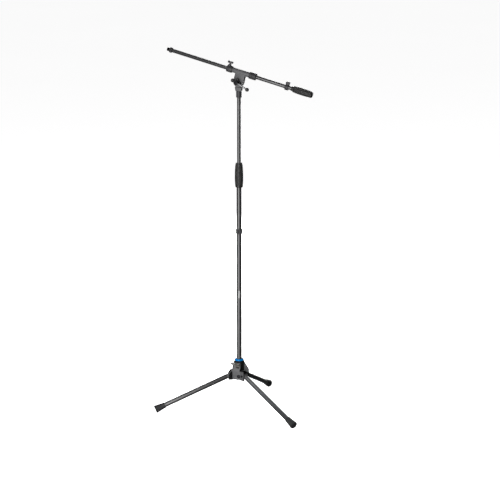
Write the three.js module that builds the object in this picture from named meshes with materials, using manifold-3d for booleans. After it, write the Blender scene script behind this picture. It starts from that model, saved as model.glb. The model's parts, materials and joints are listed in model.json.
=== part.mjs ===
// Boom microphone stand: a folding tripod base, a telescopic column, a tilting head and a sliding boom.
// Millimetres, +Z up, floor at z = 0. The boom lies along X with its microphone thread towards -X.
import * as THREE from "three";
import { mergeVertices } from "three/addons/utils/BufferGeometryUtils.js";
import Module from "manifold-3d";

const wasm = await Module();
wasm.setup();

const radians = THREE.MathUtils.degToRad;

// Clearances
const gap = 0.3; // between two pieces that sit against each other
const run = 0.35; // radial, between pieces that slide or turn on each other

// Legs
const legAzimuths = [90, 210, 330].map(radians);
const legSlope = radians(23.25); // below the horizontal when the tripod stands open
const legLength = 368; // hinge to the end of the foot
const legTubeRadius = 10.7;
const legTubeWall = 1.5;
const footLength = 47;
const footNeckWall = 1.2;
const footTipRadius = 17.3;
const footTipEdge = 2.5;
const footSoleThickness = 8;
const knuckleRadius = legTubeRadius - 0.3;
const knuckleLength = 16;
const tenonLength = 34;
const legBoltRadius = 3;
const boltHeadRadius = 5;
const boltHeadHeight = 3.5;
const nutRadius = 5.2;
const nutHeight = 4;

// Column
const lowerTubeRadius = 11;
const upperTubeRadius = 8.25;
const tubeWall = 1.2;
const lowerTubeLength = 877.2;
const upperTubeLength = 699;
const columnExtension = 369; // top of the upper tube above the top of the lower tube
const guideLength = 16;
const columnClipHeight = 800.7; // above the floor with the tripod open
const columnClipLength = 19.7;
const columnClipFacing = radians(21);

// Hub
const hingeRadius = 39; // leg hinge to the column's axis
const hingeAboveHubBase = 16.5;
const hubApothem = lowerTubeRadius + 22; // half the width across the flats of the six-sided skirt
const skirtHeight = 40;
const collarRadius = lowerTubeRadius + 11;
const collarHeight = 6;
const hubHeight = 81.9;
const podWidth = 32;
const podReach = 50;
const podTopReach = 14; // where the forks' sloping edges meet the top of the hub
const podShoulders = [
  [[50, 47], [48, 50]],
  [[50, 19], [41, 34], [25, 56]],
  [[50, 47], [48, 50]],
]; // outer corners of the three forks: reach and height
const podDrop = 3; // how far the leg forks reach below the skirt
const seatDepth = 8; // floor of the column's bore above the hub's base
const coverRadius = 25;
const coverScrewCircle = 18;
const coverScrewRadius = 1.5;
const coverScrewLength = 7;
const setScrewHeight = 15;
const setScrewTurn = radians(15); // from the front towards +X
const setScrewRadius = 4;
const setScrewHeadRadius = 6.8;
const setScrewRecessRadius = 8.5;
const trimRingRadius = lowerTubeRadius + 8.5;
const trimRingHeight = 7;
const pocketDepth = 6;
const pocketRadius = 28;
const ledgeHeight = 37.5; // the low wall of each leg fork
const upperSlotRadius = 21;

// Release lever
const leverHeight = 70.5; // hinge pin above the hub's base
const leverPinOffset = lowerTubeRadius + 9; // hinge pin to the column's axis
const leverPinRadius = 1.5;
const leverPinHalfLength = 12.3;
const leverEyeRadius = 3.6;
const leverThickness = 3;
const leverTongueWidth = 20;
const leverTabLeft = 24; // its ends from the middle of the lever
const leverTabRight = 19;
const leverTabLength = 14;
const leverTabSlope = radians(15);
const leverTabRoll = radians(15);
const windowWidth = 21;
const windowSill = 19; // spring seat below the hinge pin
const windowLip = 5; // floor beside the spring's slot, below the hinge pin
const springSlotStart = -4;
const windowWall = 4; // hub wall left between the window and the column's bore
const springRadius = 2.6;
const springWire = 0.8;

// Clutch
const clutchDrop = 22.5; // grip's lower end below the top of the lower tube
const clutchLength = 108;
const clutchBodyWall = 1.4;
const clutchSleeveWall = 1.2;
const clutchGripEndRadius = 15.25;
const clutchGripBulge = 3.4;
const clutchRimHeight = 5;
const colletLength = 32;
const colletTopRadius = 10.2;
const colletSlit = 2;

// Threads of the two studs, 5/8 inch
const studRadius = 7.85;
const columnStudLength = 24;
const boomStudLength = 23;
const studPlugLength = 28;
const studChamfer = 1;

// Tilt head
const hingeAboveTube = 70; // tilt axis above the top of the upper tube
const socketRadius = 12.3;
const socketHeight = 27.5;
const socketWall = 1.9;
const yokeEyeRadius = 20;
const yokeEyeThickness = 8;
const yokeFootWidth = 24;
const yokeShoulderWidth = 32;
const yokeShoulderThickness = 19;
const washerThickness = 0.8;
const frictionWasherRadius = 17;
const spindleRadius = 4;
const spindleHeadRadius = 9.5;
const spindleHeadLength = 17;
const tiltKnobRadius = 13;
const tiltKnobLobe = 3.5;
const tiltKnobLength = 11.5;
const spindleWasherRadius = 9;
const spindleWasherThickness = 1.2;
const spindleNutRadius = 7.6;
const spindleNutHeight = 6;
const tommyBarRadius = 3.5;
const tommyBarSlope = radians(29.4);
const ballRadius = 8.5;
const ballSpacing = 75.7;
const ballBoreDepth = 2;

// Boom
const boomSlope = radians(14.2); // its rear end lies below the horizontal
const boomOffset = 42; // tilt axis to the boom's axis
const bracketRadius = 22.5;
const plateThickness = 4.8;
const rodRadius = 8;
const sleeveRadius = rodRadius + 3;
const sleeveHalfLength = 62;
const bushRadius = rodRadius + 1.7;
const bushLength = 15;
const rodFront = -330.8; // along the boom from the foot of the perpendicular to the tilt axis
const rodRear = 300;
const collarInner = 39.5; // start of both collars from the middle of the sleeve
const frontCollarLength = 27;
const rearCollarLength = 32.5;
const boomCollarRadius = sleeveRadius + 3.9;
const wingScrewPlace = -57;
const wingScrewRadius = 3;
const wingBossRadius = 7.5;
const wingBossHeight = 19;
const wingNeckRadius = 4.5;
const wingNeckHeight = 4;
const wingSpan = 26;
const wingHeight = 11;
const brakePadHeight = 1.3;
const studRingRadius = 11.5;
const studRingLength = 10.9;
const boomClipPlace = 209.6;
const boomClipLength = 14.5;
const gripNeckPlace = 237;
const gripPlace = 246.7;
const gripLength = 88.9;
const gripEndRadius = rodRadius + 4.6;
const gripBulge = 2.7;
const gripNeckWall = 1.5;

// Cable clips
const columnClipWall = 3.2;
const boomClipWall = 5.5;
const cableRadius = 3.5;
const cableMouth = 5.4;
const jawWidth = 16;
const columnJawReach = 9.5; // jaws beyond the clip's bore
const boomJawReach = 15;

// Heights that follow from the sizes above
const hingeHeight = Math.max(
  (legLength - footTipEdge) * Math.sin(legSlope) + footTipRadius * Math.cos(legSlope),
  legLength * Math.sin(legSlope) + (footTipRadius - footTipEdge) * Math.cos(legSlope),
);
const hubBase = hingeHeight - hingeAboveHubBase;
const hubTop = hubBase + hubHeight;
const columnBottom = hubBase + seatDepth;
const lowerTubeTop = columnBottom + lowerTubeLength;
const upperTubeTop = lowerTubeTop + columnExtension;
const tiltHeight = upperTubeTop + hingeAboveTube;
const knuckleHalfWidth = legTubeRadius + 0.1;
const slotHalfWidth = knuckleHalfWidth + 0.4;
const slotRadius = hingeRadius - knuckleRadius - 0.6;
const plateInner = yokeEyeThickness / 2 + gap + washerThickness + gap;
const plateOuter = plateInner + plateThickness;
const apothemToCorner = 1 / Math.cos(Math.PI / 6);

// Materials
const coat = (name, color, roughness, metalness) =>
  new THREE.MeshStandardMaterial({ name, color, roughness, metalness });
const tubePaint = () => coat("tube_paint", 0x1b1b1d, 0.38, 0.3);
const castPaint = () => coat("cast_paint", 0x2b2b2e, 0.5, 0.35);
const darkPlastic = () => coat("dark_plastic", 0x141415, 0.45, 0);
const gripRubber = () => coat("grip_rubber", 0x161616, 0.7, 0);
const footRubber = () => coat("foot_rubber", 0x1d1d1e, 0.75, 0);
const blueTrim = () => coat("blue_trim", 0x0a73e0, 0.4, 0);
const brightSteel = () => coat("bright_steel", 0x9a9a9e, 0.25, 1);
const blackSteel = () => coat("black_steel", 0x232325, 0.35, 0.9);
const leverMetal = () => coat("lever_metal", 0x6d6d70, 0.4, 0.8);
const palePlastic = () => coat("pale_plastic", 0xcfcfca, 0.5, 0);

// A turned shape about Z. The profile lists [radius, height] with its outer side going up.
function turned(profile, sides = 16) {
  const points = profile.map(([radius, height]) => new THREE.Vector2(radius, height));
  return new THREE.LatheGeometry(points, sides).rotateX(Math.PI / 2);
}

function cylinder(radius, bottom, top, sides = 16) {
  return turned([[0, bottom], [radius, bottom], [radius, top], [0, top]], sides);
}

function ring(outer, inner, bottom, top, sides = 16) {
  return turned([[outer, bottom], [outer, top], [inner, top], [inner, bottom], [outer, bottom]], sides);
}

function hexagon(bottomApothem, topApothem, bottom, top) {
  const prism = new THREE.CylinderGeometry(
    topApothem * apothemToCorner, bottomApothem * apothemToCorner, top - bottom, 6,
  );
  return prism.rotateX(Math.PI / 2).rotateZ(Math.PI / 6).translate(0, 0, (bottom + top) / 2);
}

function box(lowX, highX, lowY, highY, lowZ, highZ) {
  return new THREE.BoxGeometry(highX - lowX, highY - lowY, highZ - lowZ)
    .translate((lowX + highX) / 2, (lowY + highY) / 2, (lowZ + highZ) / 2);
}

// A plate whose outline is drawn in X and Z, between two values of Y.
function plate(outline, lowY, highY) {
  const settings = { depth: highY - lowY, bevelEnabled: false, curveSegments: 16 };
  return new THREE.ExtrudeGeometry(outline, settings)
    .rotateX(Math.PI / 2)
    .translate(0, highY, 0);
}

const alongX = (geometry) => geometry.rotateY(Math.PI / 2);
const alongY = (geometry) => geometry.rotateX(-Math.PI / 2);
const outlineOf = (points) => new THREE.Shape(points.map(([x, y]) => new THREE.Vector2(x, y)));

function solid(geometry) {
  geometry.deleteAttribute("normal");
  geometry.deleteAttribute("uv");
  const merged = mergeVertices(geometry, 1e-4);
  const corners = merged.index.array;
  const kept = [];
  for (let i = 0; i < corners.length; i += 3) {
    const [a, b, c] = [corners[i], corners[i + 1], corners[i + 2]];
    if (a !== b && b !== c && c !== a) kept.push(a, b, c);
  }
  const vertProperties = new Float32Array(merged.attributes.position.array);
  return new wasm.Manifold(new wasm.Mesh({ numProp: 3, vertProperties, triVerts: new Uint32Array(kept) }));
}

function joined(geometries) {
  return geometries.map(solid).reduce((whole, one) => whole.add(one));
}

function cut(whole, geometries) {
  return geometries.map(solid).reduce((rest, one) => rest.subtract(one), whole);
}

function surface(manifold) {
  const mesh = manifold.getMesh();
  const geometry = new THREE.BufferGeometry();
  geometry.setAttribute("position", new THREE.BufferAttribute(new Float32Array(mesh.vertProperties), 3));
  geometry.setIndex(new THREE.BufferAttribute(new Uint32Array(mesh.triVerts), 1));
  geometry.computeVertexNormals();
  return geometry;
}

const model = new THREE.Group();

function piece(name, shape, material, parent = model) {
  const geometry = shape.isBufferGeometry ? shape : surface(shape);
  const mesh = new THREE.Mesh(geometry, material);
  mesh.name = name;
  parent.add(mesh);
}

function frame(parent, x, y, z) {
  const group = new THREE.Group();
  group.position.set(x, y, z);
  parent.add(group);
  return group;
}

// Leg numbers run with the azimuths. In a leg's frame X runs from the hinge to the foot.
function buildLeg(number, azimuth) {
  const turn = frame(model, 0, 0, hingeHeight);
  turn.rotation.z = azimuth;
  const fork = frame(turn, hingeRadius, 0, 0);
  const leg = frame(fork, 0, 0, 0);
  leg.rotation.y = legSlope;
  buildLegTube(number, leg);
  buildKnuckle(number, leg);
  buildFoot(number, leg);
  buildLegBolt(number, fork);
}

function buildLegTube(number, leg) {
  const end = legLength - footSoleThickness - gap;
  const tube = ring(legTubeRadius, legTubeRadius - legTubeWall, knuckleLength + gap, end);
  piece(`leg_tube_${number}`, alongX(tube), tubePaint(), leg);
}

function buildKnuckle(number, leg) {
  const eye = alongY(cylinder(knuckleRadius, -knuckleHalfWidth, knuckleHalfWidth));
  const neck = alongX(cylinder(knuckleRadius, 0, knuckleLength));
  const tenonRadius = legTubeRadius - legTubeWall - gap;
  const tenon = alongX(cylinder(tenonRadius, knuckleLength / 2, knuckleLength + tenonLength));
  const hole = alongY(cylinder(legBoltRadius + run, -podWidth, podWidth));
  piece(`leg_knuckle_${number}`, cut(joined([eye, neck, tenon]), [hole]), castPaint(), leg);
}

function buildFoot(number, leg) {
  const bore = legTubeRadius + gap;
  const start = legLength - footLength;
  const profile = [
    [0, legLength - footSoleThickness],
    [bore, legLength - footSoleThickness],
    [bore, start],
    [bore + footNeckWall, start],
    [footTipRadius, legLength - footTipEdge],
    [footTipRadius - footTipEdge, legLength],
    [0, legLength],
  ];
  piece(`rubber_foot_${number}`, alongX(turned(profile)), footRubber(), leg);
}

function buildLegBolt(number, fork) {
  const side = podWidth / 2 + gap;
  const bolt = [
    [0, -side - boltHeadHeight],
    [boltHeadRadius, -side - boltHeadHeight],
    [boltHeadRadius, -side],
    [legBoltRadius, -side],
    [legBoltRadius, side + nutHeight + gap],
    [0, side + nutHeight + gap],
  ];
  piece(`leg_bolt_${number}`, alongY(turned(bolt)), blackSteel(), fork);
  const nut = cut(solid(cylinder(nutRadius, side, side + nutHeight, 6)), [
    cylinder(legBoltRadius + gap, 0, podWidth),
  ]);
  piece(`leg_nut_${number}`, alongY(surface(nut)), blackSteel(), fork);
}

// The fork that holds one leg: its outline in X and Z, from the column's axis outwards.
function podOutline(shoulder) {
  return outlineOf([
    [collarRadius - 12, -podDrop],
    [podReach, -podDrop],
    ...shoulder,
    [podTopReach, hubHeight - 3],
    [collarRadius - 12, hubHeight - 3],
  ]);
}

function buildHubCasting() {
  const windowBack = -lowerTubeRadius - windowWall;
  const parts = [
    hexagon(hubApothem + 0.5, hubApothem, 0, skirtHeight),
    hexagon(hubApothem, collarRadius, skirtHeight, hubHeight - collarHeight),
    cylinder(collarRadius, skirtHeight, hubHeight, 24),
  ];
  const cuts = [
    cylinder(lowerTubeRadius + gap, seatDepth - gap, hubHeight + 1, 24),
    cylinder(coverRadius + gap, -podDrop - 1, 0, 24),
    box(-windowWidth / 2, windowWidth / 2, -podReach, windowBack, leverHeight - windowLip, hubHeight + 1),
    box(springSlotStart, windowWidth / 2, -podReach, windowBack, leverHeight - windowSill, leverHeight),
    alongX(cylinder(leverPinRadius + gap, -leverPinHalfLength - gap, leverPinHalfLength + gap, 12))
      .translate(0, -leverPinOffset, leverHeight),
    alongY(cylinder(setScrewRadius + gap, -podReach, -1))
      .translate(0, 0, setScrewHeight)
      .rotateZ(setScrewTurn),
    alongY(cylinder(setScrewRecessRadius, -podReach, -collarRadius))
      .translate(0, 0, setScrewHeight)
      .rotateZ(setScrewTurn),
  ];
  for (const [index, azimuth] of legAzimuths.entries()) {
    const outline = podOutline(podShoulders[index]);
    parts.push(plate(outline, -podWidth / 2, podWidth / 2).rotateZ(azimuth));
    cuts.push(box(slotRadius, podReach + 1, -slotHalfWidth, slotHalfWidth,
      -podDrop - 1, hubHeight + 1).rotateZ(azimuth));
    cuts.push(alongY(cylinder(legBoltRadius + gap, -podWidth, podWidth))
      .translate(hingeRadius, 0, hingeAboveHubBase).rotateZ(azimuth));
    cuts.push(box(upperSlotRadius, podReach + 1, -slotHalfWidth, slotHalfWidth,
      ledgeHeight, hubHeight - collarHeight).rotateZ(azimuth));
    cuts.push(box(pocketRadius, podReach + 1, -podWidth / 2 - pocketDepth, 1 - slotHalfWidth,
      ledgeHeight, hubHeight + 1).rotateZ(azimuth));
  }
  for (const azimuth of legAzimuths) {
    cuts.push(cylinder(coverScrewRadius + gap, -1, coverScrewLength, 12)
      .translate(coverScrewCircle, 0, 0).rotateZ(azimuth + Math.PI));
  }
  const hub = frame(model, 0, 0, hubBase);
  piece("hub_casting", cut(joined(parts), cuts), castPaint(), hub);
}

function buildHubCover() {
  const hub = frame(model, 0, 0, hubBase);
  const holes = legAzimuths.map((azimuth) =>
    cylinder(coverScrewRadius + gap, -podDrop - 1, 1, 12)
      .translate(coverScrewCircle, 0, 0)
      .rotateZ(azimuth + Math.PI));
  piece("hub_cover", cut(solid(cylinder(coverRadius, -podDrop, -gap, 24)), holes), darkPlastic(), hub);
  const screw = [
    [0, -podDrop - gap - 2],
    [3, -podDrop - gap - 2],
    [3, -podDrop - gap],
    [coverScrewRadius, -podDrop - gap],
    [coverScrewRadius, coverScrewLength - 1],
    [0, coverScrewLength - 1],
  ];
  legAzimuths.forEach((azimuth, index) => {
    const place = turned(screw, 12).translate(coverScrewCircle, 0, 0).rotateZ(azimuth + Math.PI);
    piece(`cover_screw_${index + 1}`, place, blackSteel(), hub);
  });
}

function buildTrimRing() {
  const bottom = hubTop + gap;
  const top = bottom + trimRingHeight;
  const inner = lowerTubeRadius + gap;
  const profile = [
    [trimRingRadius, bottom],
    [trimRingRadius, top - 1.5],
    [trimRingRadius - 1.5, top],
    [inner, top],
    [inner, bottom],
    [trimRingRadius, bottom],
  ];
  piece("trim_ring", turned(profile, 24), blueTrim());
}

function buildSetScrew() {
  const tip = -lowerTubeRadius - gap;
  const profile = [
    [0, -collarRadius - gap - 6],
    [setScrewHeadRadius, -collarRadius - gap - 6],
    [setScrewHeadRadius, -collarRadius - gap],
    [setScrewRadius, -collarRadius - gap],
    [setScrewRadius, tip],
    [0, tip],
  ];
  const screw = alongY(turned(profile)).rotateZ(setScrewTurn);
  piece("column_set_screw", screw, blackSteel(), frame(model, 0, 0, hubBase + setScrewHeight));
}

function buildReleaseLever() {
  const hinge = frame(model, 0, -leverPinOffset, hubBase + leverHeight);
  const half = leverThickness / 2;
  const tongueEnd = leverPinOffset - hubApothem + 2;
  const tabSlab = box(-leverTabLeft, leverTabRight, -leverTabLength, 0.5, -half, half)
    .rotateX(leverTabSlope)
    .rotateY(leverTabRoll)
    .translate(0, tongueEnd, 0);
  const tongue = box(-leverTongueWidth / 2, leverTongueWidth / 2, tongueEnd - 2, 0, -half, half);
  const eye = alongX(cylinder(leverEyeRadius, -leverTongueWidth / 2, leverTongueWidth / 2));
  const hole = alongX(cylinder(leverPinRadius + gap, -leverTongueWidth, leverTongueWidth, 12));
  piece("release_lever", cut(joined([tongue, eye, tabSlab]), [hole]), leverMetal(), hinge);
  const pin = alongX(cylinder(leverPinRadius, -leverPinHalfLength, leverPinHalfLength, 12));
  piece("lever_pin", pin, blackSteel(), hinge);
  const springTop = -half - gap;
  const springBottom = gap - windowSill;
  const spring = ring(springRadius, springRadius - springWire, springBottom, springTop);
  piece("lever_spring", spring.translate(0, -6.5, 0), brightSteel(), hinge);
}

function buildTubes() {
  const lowerBore = lowerTubeRadius - tubeWall;
  piece("lower_tube", ring(lowerTubeRadius, lowerBore, columnBottom, lowerTubeTop, 24), tubePaint());
  const upperTubeBottom = upperTubeTop - upperTubeLength;
  const bore = upperTubeRadius - tubeWall;
  piece("upper_tube", ring(upperTubeRadius, bore, upperTubeBottom, upperTubeTop, 24), tubePaint());
  const guideRadius = lowerBore - run;
  const flange = upperTubeBottom - gap;
  const guide = [
    [0, flange - 4],
    [guideRadius, flange - 4],
    [guideRadius, flange],
    [bore - gap, flange],
    [bore - gap, flange + guideLength],
    [0, flange + guideLength],
  ];
  piece("slide_guide", turned(guide), palePlastic());
}

function buildColumnStud() {
  const plug = upperTubeRadius - tubeWall - gap;
  const seat = upperTubeTop + gap;
  const profile = [
    [0, upperTubeTop - studPlugLength],
    [plug, upperTubeTop - studPlugLength],
    [plug, seat],
    [upperTubeRadius, seat],
    [upperTubeRadius, seat + 1.2],
    [studRadius, seat + 1.2],
    [studRadius, upperTubeTop + columnStudLength - studChamfer],
    [studRadius - studChamfer, upperTubeTop + columnStudLength],
    [0, upperTubeTop + columnStudLength],
  ];
  piece("column_stud", turned(profile), brightSteel());
}

// Barrel outline of a grip, widest just before its middle, as [radius, height] points going up.
function barrel(endRadius, bulge, bottom, top, steps = 8) {
  const points = [];
  for (let step = 0; step <= steps; step += 1) {
    const share = step / steps;
    const swell = Math.max(0, Math.sin(Math.PI * share ** 0.9)) ** 0.6;
    points.push([endRadius + bulge * swell, bottom + share * (top - bottom)]);
  }
  return points;
}

function buildClutch() {
  const bottom = lowerTubeTop - clutchDrop;
  const top = bottom + clutchLength;
  const seatRadius = lowerTubeRadius + gap;
  const bodyRadius = seatRadius + clutchBodyWall;
  const bodyTop = lowerTubeTop + 6;
  const neck = upperTubeRadius + run;
  const body = [
    [bodyRadius, bottom + 2],
    [bodyRadius, bodyTop],
    [neck, bodyTop],
    [neck, lowerTubeTop + gap],
    [seatRadius, lowerTubeTop + gap],
    [seatRadius, bottom + 2],
    [bodyRadius, bottom + 2],
  ];
  piece("clutch_body", turned(body), darkPlastic());

  const colletBottom = bodyTop + gap;
  const colletTop = colletBottom + colletLength;
  const colletRing = turned([
    [bodyRadius - 0.2, colletBottom],
    [colletTopRadius, colletTop],
    [neck, colletTop],
    [neck, colletBottom],
    [bodyRadius - 0.2, colletBottom],
  ]);
  const slit = box(0, 40, -colletSlit / 2, colletSlit / 2, colletBottom - 1, colletTop + 1);
  piece("clutch_collet", cut(solid(colletRing), [slit]), palePlastic());

  const boreRadius = bodyRadius + run;
  const sleeveOuter = boreRadius + clutchSleeveWall;
  const rimBottom = top - clutchRimHeight;
  const sleeve = [
    [sleeveOuter, bottom + 1],
    [sleeveOuter, rimBottom],
    [clutchGripEndRadius - 0.6, rimBottom],
    [clutchGripEndRadius - 0.6, top - 1.2],
    [clutchGripEndRadius - 1.8, top],
    [neck + 0.1, top],
    [neck + 0.1, colletTop + 3],
    [colletTopRadius + 0.6, colletTop + 1],
    [boreRadius, colletBottom],
    [boreRadius, bottom + 1],
    [sleeveOuter, bottom + 1],
  ];
  piece("clutch_sleeve", turned(sleeve), darkPlastic());

  const inner = sleeveOuter + gap;
  const outside = barrel(clutchGripEndRadius, clutchGripBulge, bottom, rimBottom - gap);
  const grip = [...outside, [inner, rimBottom - gap], [inner, bottom], outside[0]];
  piece("clutch_grip", turned(grip), gripRubber());
}

// A snap-on cable clip along Z: an open ring on a tube, with jaws for the cable on its -Y side.
function cableClip(tubeRadius, length, wall, jawReach) {
  const bore = tubeRadius + gap;
  const outer = bore + wall;
  const jawEnd = -bore - jawReach;
  const seat = jawEnd + cableRadius + 1.2;
  const body = joined([
    cylinder(outer, 0, length),
    box(-jawWidth / 2, jawWidth / 2, jawEnd, -bore, 0, length),
  ]);
  const snap = bore * 0.62;
  return cut(body, [
    cylinder(bore, -1, length + 1),
    cylinder(cableRadius, -1, length + 1).translate(0, seat, 0),
    box(-cableMouth / 2, cableMouth / 2, jawEnd - 1, seat, -1, length + 1),
    box(-snap, snap, 0, outer + 1, -1, length + 1),
  ]);
}

function buildColumnClip() {
  const place = frame(model, 0, 0, columnClipHeight);
  place.rotation.z = columnClipFacing;
  const clip = cableClip(lowerTubeRadius, columnClipLength, columnClipWall, columnJawReach);
  piece("column_clip", clip, darkPlastic(), place);
}

function buildYoke() {
  const socketBottom = upperTubeTop + 2 * gap + 1.2;
  const socketTop = socketBottom + socketHeight;
  const stemBore = studRadius + run;
  const stemRadius = stemBore + socketWall;
  const shoulder = tiltHeight - bracketRadius - 1.5;
  const foot = socketTop + gap;
  const block = outlineOf([
    [-yokeFootWidth / 2, foot],
    [yokeFootWidth / 2, foot],
    [yokeShoulderWidth / 2, shoulder],
    [-yokeShoulderWidth / 2, shoulder],
  ]);
  const halfEye = yokeEyeThickness / 2;
  const casting = joined([
    cylinder(stemRadius, socketBottom + 2, foot + 2),
    plate(block, -yokeShoulderThickness / 2, yokeShoulderThickness / 2),
    box(-yokeShoulderWidth / 2, yokeShoulderWidth / 2, -halfEye, halfEye, shoulder - 1, tiltHeight),
    alongY(cylinder(yokeEyeRadius, -halfEye, halfEye, 24)).translate(0, 0, tiltHeight),
  ]);
  const cuts = [
    cylinder(stemBore, socketBottom, upperTubeTop + columnStudLength + 1),
    alongY(cylinder(spindleRadius + run, -20, 20)).translate(0, 0, tiltHeight),
  ];
  piece("tilt_yoke", cut(casting, cuts), castPaint());
  const inner = stemRadius + gap;
  const socket = [
    [socketRadius - 1.5, socketBottom],
    [socketRadius, socketBottom + 1.5],
    [socketRadius, socketTop],
    [inner, socketTop],
    [inner, socketBottom],
    [socketRadius - 1.5, socketBottom],
  ];
  piece("socket_ring", turned(socket), darkPlastic());
}

// The clamping screw lies on the tilt axis, with its head towards -Y.
function buildSpindle(head) {
  const washerNear = plateOuter + gap;
  const knobNear = washerNear + spindleWasherThickness + gap;
  const headNear = knobNear + tiltKnobLength + gap;
  const headFar = headNear + spindleHeadLength;
  const barPlace = (headNear + headFar) / 2;
  const nutFar = knobNear + spindleNutHeight;
  const bar = frame(head, 0, -barPlace, 0);
  bar.rotation.y = tommyBarSlope;
  const profile = [
    [0, -headFar],
    [spindleHeadRadius, -headFar],
    [spindleHeadRadius, -headNear],
    [spindleRadius, -headNear],
    [spindleRadius, nutFar + 1.5],
    [0, nutFar + 1.5],
  ];
  const hole = alongX(cylinder(tommyBarRadius + run, -20, 20))
    .translate(0, -barPlace, 0)
    .rotateY(tommyBarSlope);
  piece("clamp_spindle", cut(solid(alongY(turned(profile))), [hole]), blackSteel(), head);

  const washer = (near) => alongY(
    ring(spindleWasherRadius, spindleRadius + gap, near, near + spindleWasherThickness),
  );
  piece("spindle_washer_front", washer(-washerNear - spindleWasherThickness), brightSteel(), head);
  piece("spindle_washer_rear", washer(washerNear), brightSteel(), head);
  const nut = cut(solid(cylinder(spindleNutRadius, knobNear, nutFar, 6)), [
    cylinder(spindleRadius + gap, 0, nutFar + 5),
  ]);
  piece("spindle_nut", alongY(surface(nut)), blackSteel(), head);
  buildTiltKnob(head, -knobNear);
  buildTommyBar(bar);
}

function buildTiltKnob(head, rearFace) {
  const sides = 36;
  const points = [];
  for (let side = 0; side < sides; side += 1) {
    const angle = (side / sides) * 2 * Math.PI;
    const radius = tiltKnobRadius + tiltKnobLobe * Math.cos(3 * angle);
    points.push([radius * Math.sin(angle), radius * Math.cos(angle)]);
  }
  const knob = plate(outlineOf(points), rearFace - tiltKnobLength, rearFace);
  const hole = alongY(cylinder(spindleRadius + run, rearFace - 30, 1));
  piece("tilt_knob", cut(solid(knob), [hole]), darkPlastic(), head);
}

// The bar has slid down until its upper ball rests against the spindle's head.
function buildTommyBar(bar) {
  const upperBall = -(spindleHeadRadius + ballRadius + gap + 0.1);
  const lowerBall = upperBall + ballSpacing;
  const rod = cylinder(tommyBarRadius, upperBall - ballBoreDepth, lowerBall + ballBoreDepth);
  piece("tommy_bar", alongX(rod), brightSteel(), bar);
  const ball = (place, inwards) => {
    const reach = ballBoreDepth + gap;
    const bore = inwards > 0
      ? cylinder(tommyBarRadius + gap, -reach, ballRadius + 2)
      : cylinder(tommyBarRadius + gap, -ballRadius - 2, reach);
    const sphere = new THREE.SphereGeometry(ballRadius, 14, 10);
    return cut(solid(sphere), [alongX(bore)]).translate([place, 0, 0]);
  };
  piece("bar_ball_left", ball(upperBall, 1), darkPlastic(), bar);
  piece("bar_ball_right", ball(lowerBall, -1), darkPlastic(), bar);
}

// The bracket turns with the boom. Its frame has the tilt axis at the origin and X along the boom.
function buildBracket(tilt) {
  const outline = new THREE.Shape();
  outline.moveTo(bracketRadius, boomOffset);
  outline.lineTo(bracketRadius, 0);
  outline.absarc(0, 0, bracketRadius, 0, -Math.PI, true);
  outline.lineTo(-bracketRadius, boomOffset);
  const sleeve = alongX(cylinder(sleeveRadius, -sleeveHalfLength, sleeveHalfLength, 24))
    .translate(0, 0, boomOffset);
  const casting = joined([
    plate(outline, -plateOuter, -plateInner),
    plate(outline, plateInner, plateOuter),
    sleeve,
  ]);
  const bushSeat = sleeveHalfLength - bushLength - gap;
  const cuts = [
    alongX(cylinder(rodRadius + run, -100, 100, 24)).translate(0, 0, boomOffset),
    alongX(cylinder(bushRadius + gap, bushSeat, 100, 24)).translate(0, 0, boomOffset),
    alongX(cylinder(bushRadius + gap, -100, -bushSeat, 24)).translate(0, 0, boomOffset),
    alongY(cylinder(spindleRadius + gap, -20, 20)),
    cylinder(wingScrewRadius + run, 0, 20).translate(wingScrewPlace, 0, boomOffset),
  ];
  piece("boom_bracket", cut(casting, cuts), castPaint(), tilt);
  const inner = yokeEyeThickness / 2 + gap;
  const washer = (low) => alongY(ring(frictionWasherRadius, spindleRadius + gap, low, low + washerThickness));
  piece("friction_washer_front", washer(-inner - washerThickness), palePlastic(), tilt);
  piece("friction_washer_rear", washer(inner), palePlastic(), tilt);
}

function buildBoomCollars(boom) {
  const pocket = sleeveRadius + gap;
  const wall = sleeveHalfLength + gap;
  const bore = rodRadius + run;
  const collar = (length) => [
    [boomCollarRadius - 1.5, collarInner],
    [boomCollarRadius, collarInner + 4],
    [boomCollarRadius, collarInner + length - 1.5],
    [boomCollarRadius - 1.5, collarInner + length],
    [bore, collarInner + length],
    [bore, wall],
    [pocket, wall],
    [pocket, collarInner],
    [boomCollarRadius - 1.5, collarInner],
  ];
  piece("rear_collar", alongX(turned(collar(rearCollarLength), 24)), darkPlastic(), boom);
  const front = solid(alongX(turned(collar(frontCollarLength), 24)).rotateZ(Math.PI));
  const boss = cut(solid(cylinder(wingBossRadius, 0, wingBossHeight).translate(wingScrewPlace, 0, 0)), [
    alongX(cylinder(pocket + 1, -100, 100, 24)),
  ]);
  const hole = cylinder(wingScrewRadius + run, 0, 40).translate(wingScrewPlace, 0, 0);
  piece("front_collar", cut(front.add(boss), [hole]), darkPlastic(), boom);

  const bush = (low) => alongX(ring(bushRadius, bore, low, low + bushLength));
  piece("sleeve_bush_rear", bush(sleeveHalfLength - bushLength), palePlastic(), boom);
  const drilled = cut(solid(bush(-sleeveHalfLength)), [
    cylinder(wingScrewRadius + run, 0, 20).translate(wingScrewPlace, 0, 0),
  ]);
  piece("sleeve_bush_front", drilled, palePlastic(), boom);
}

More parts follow.
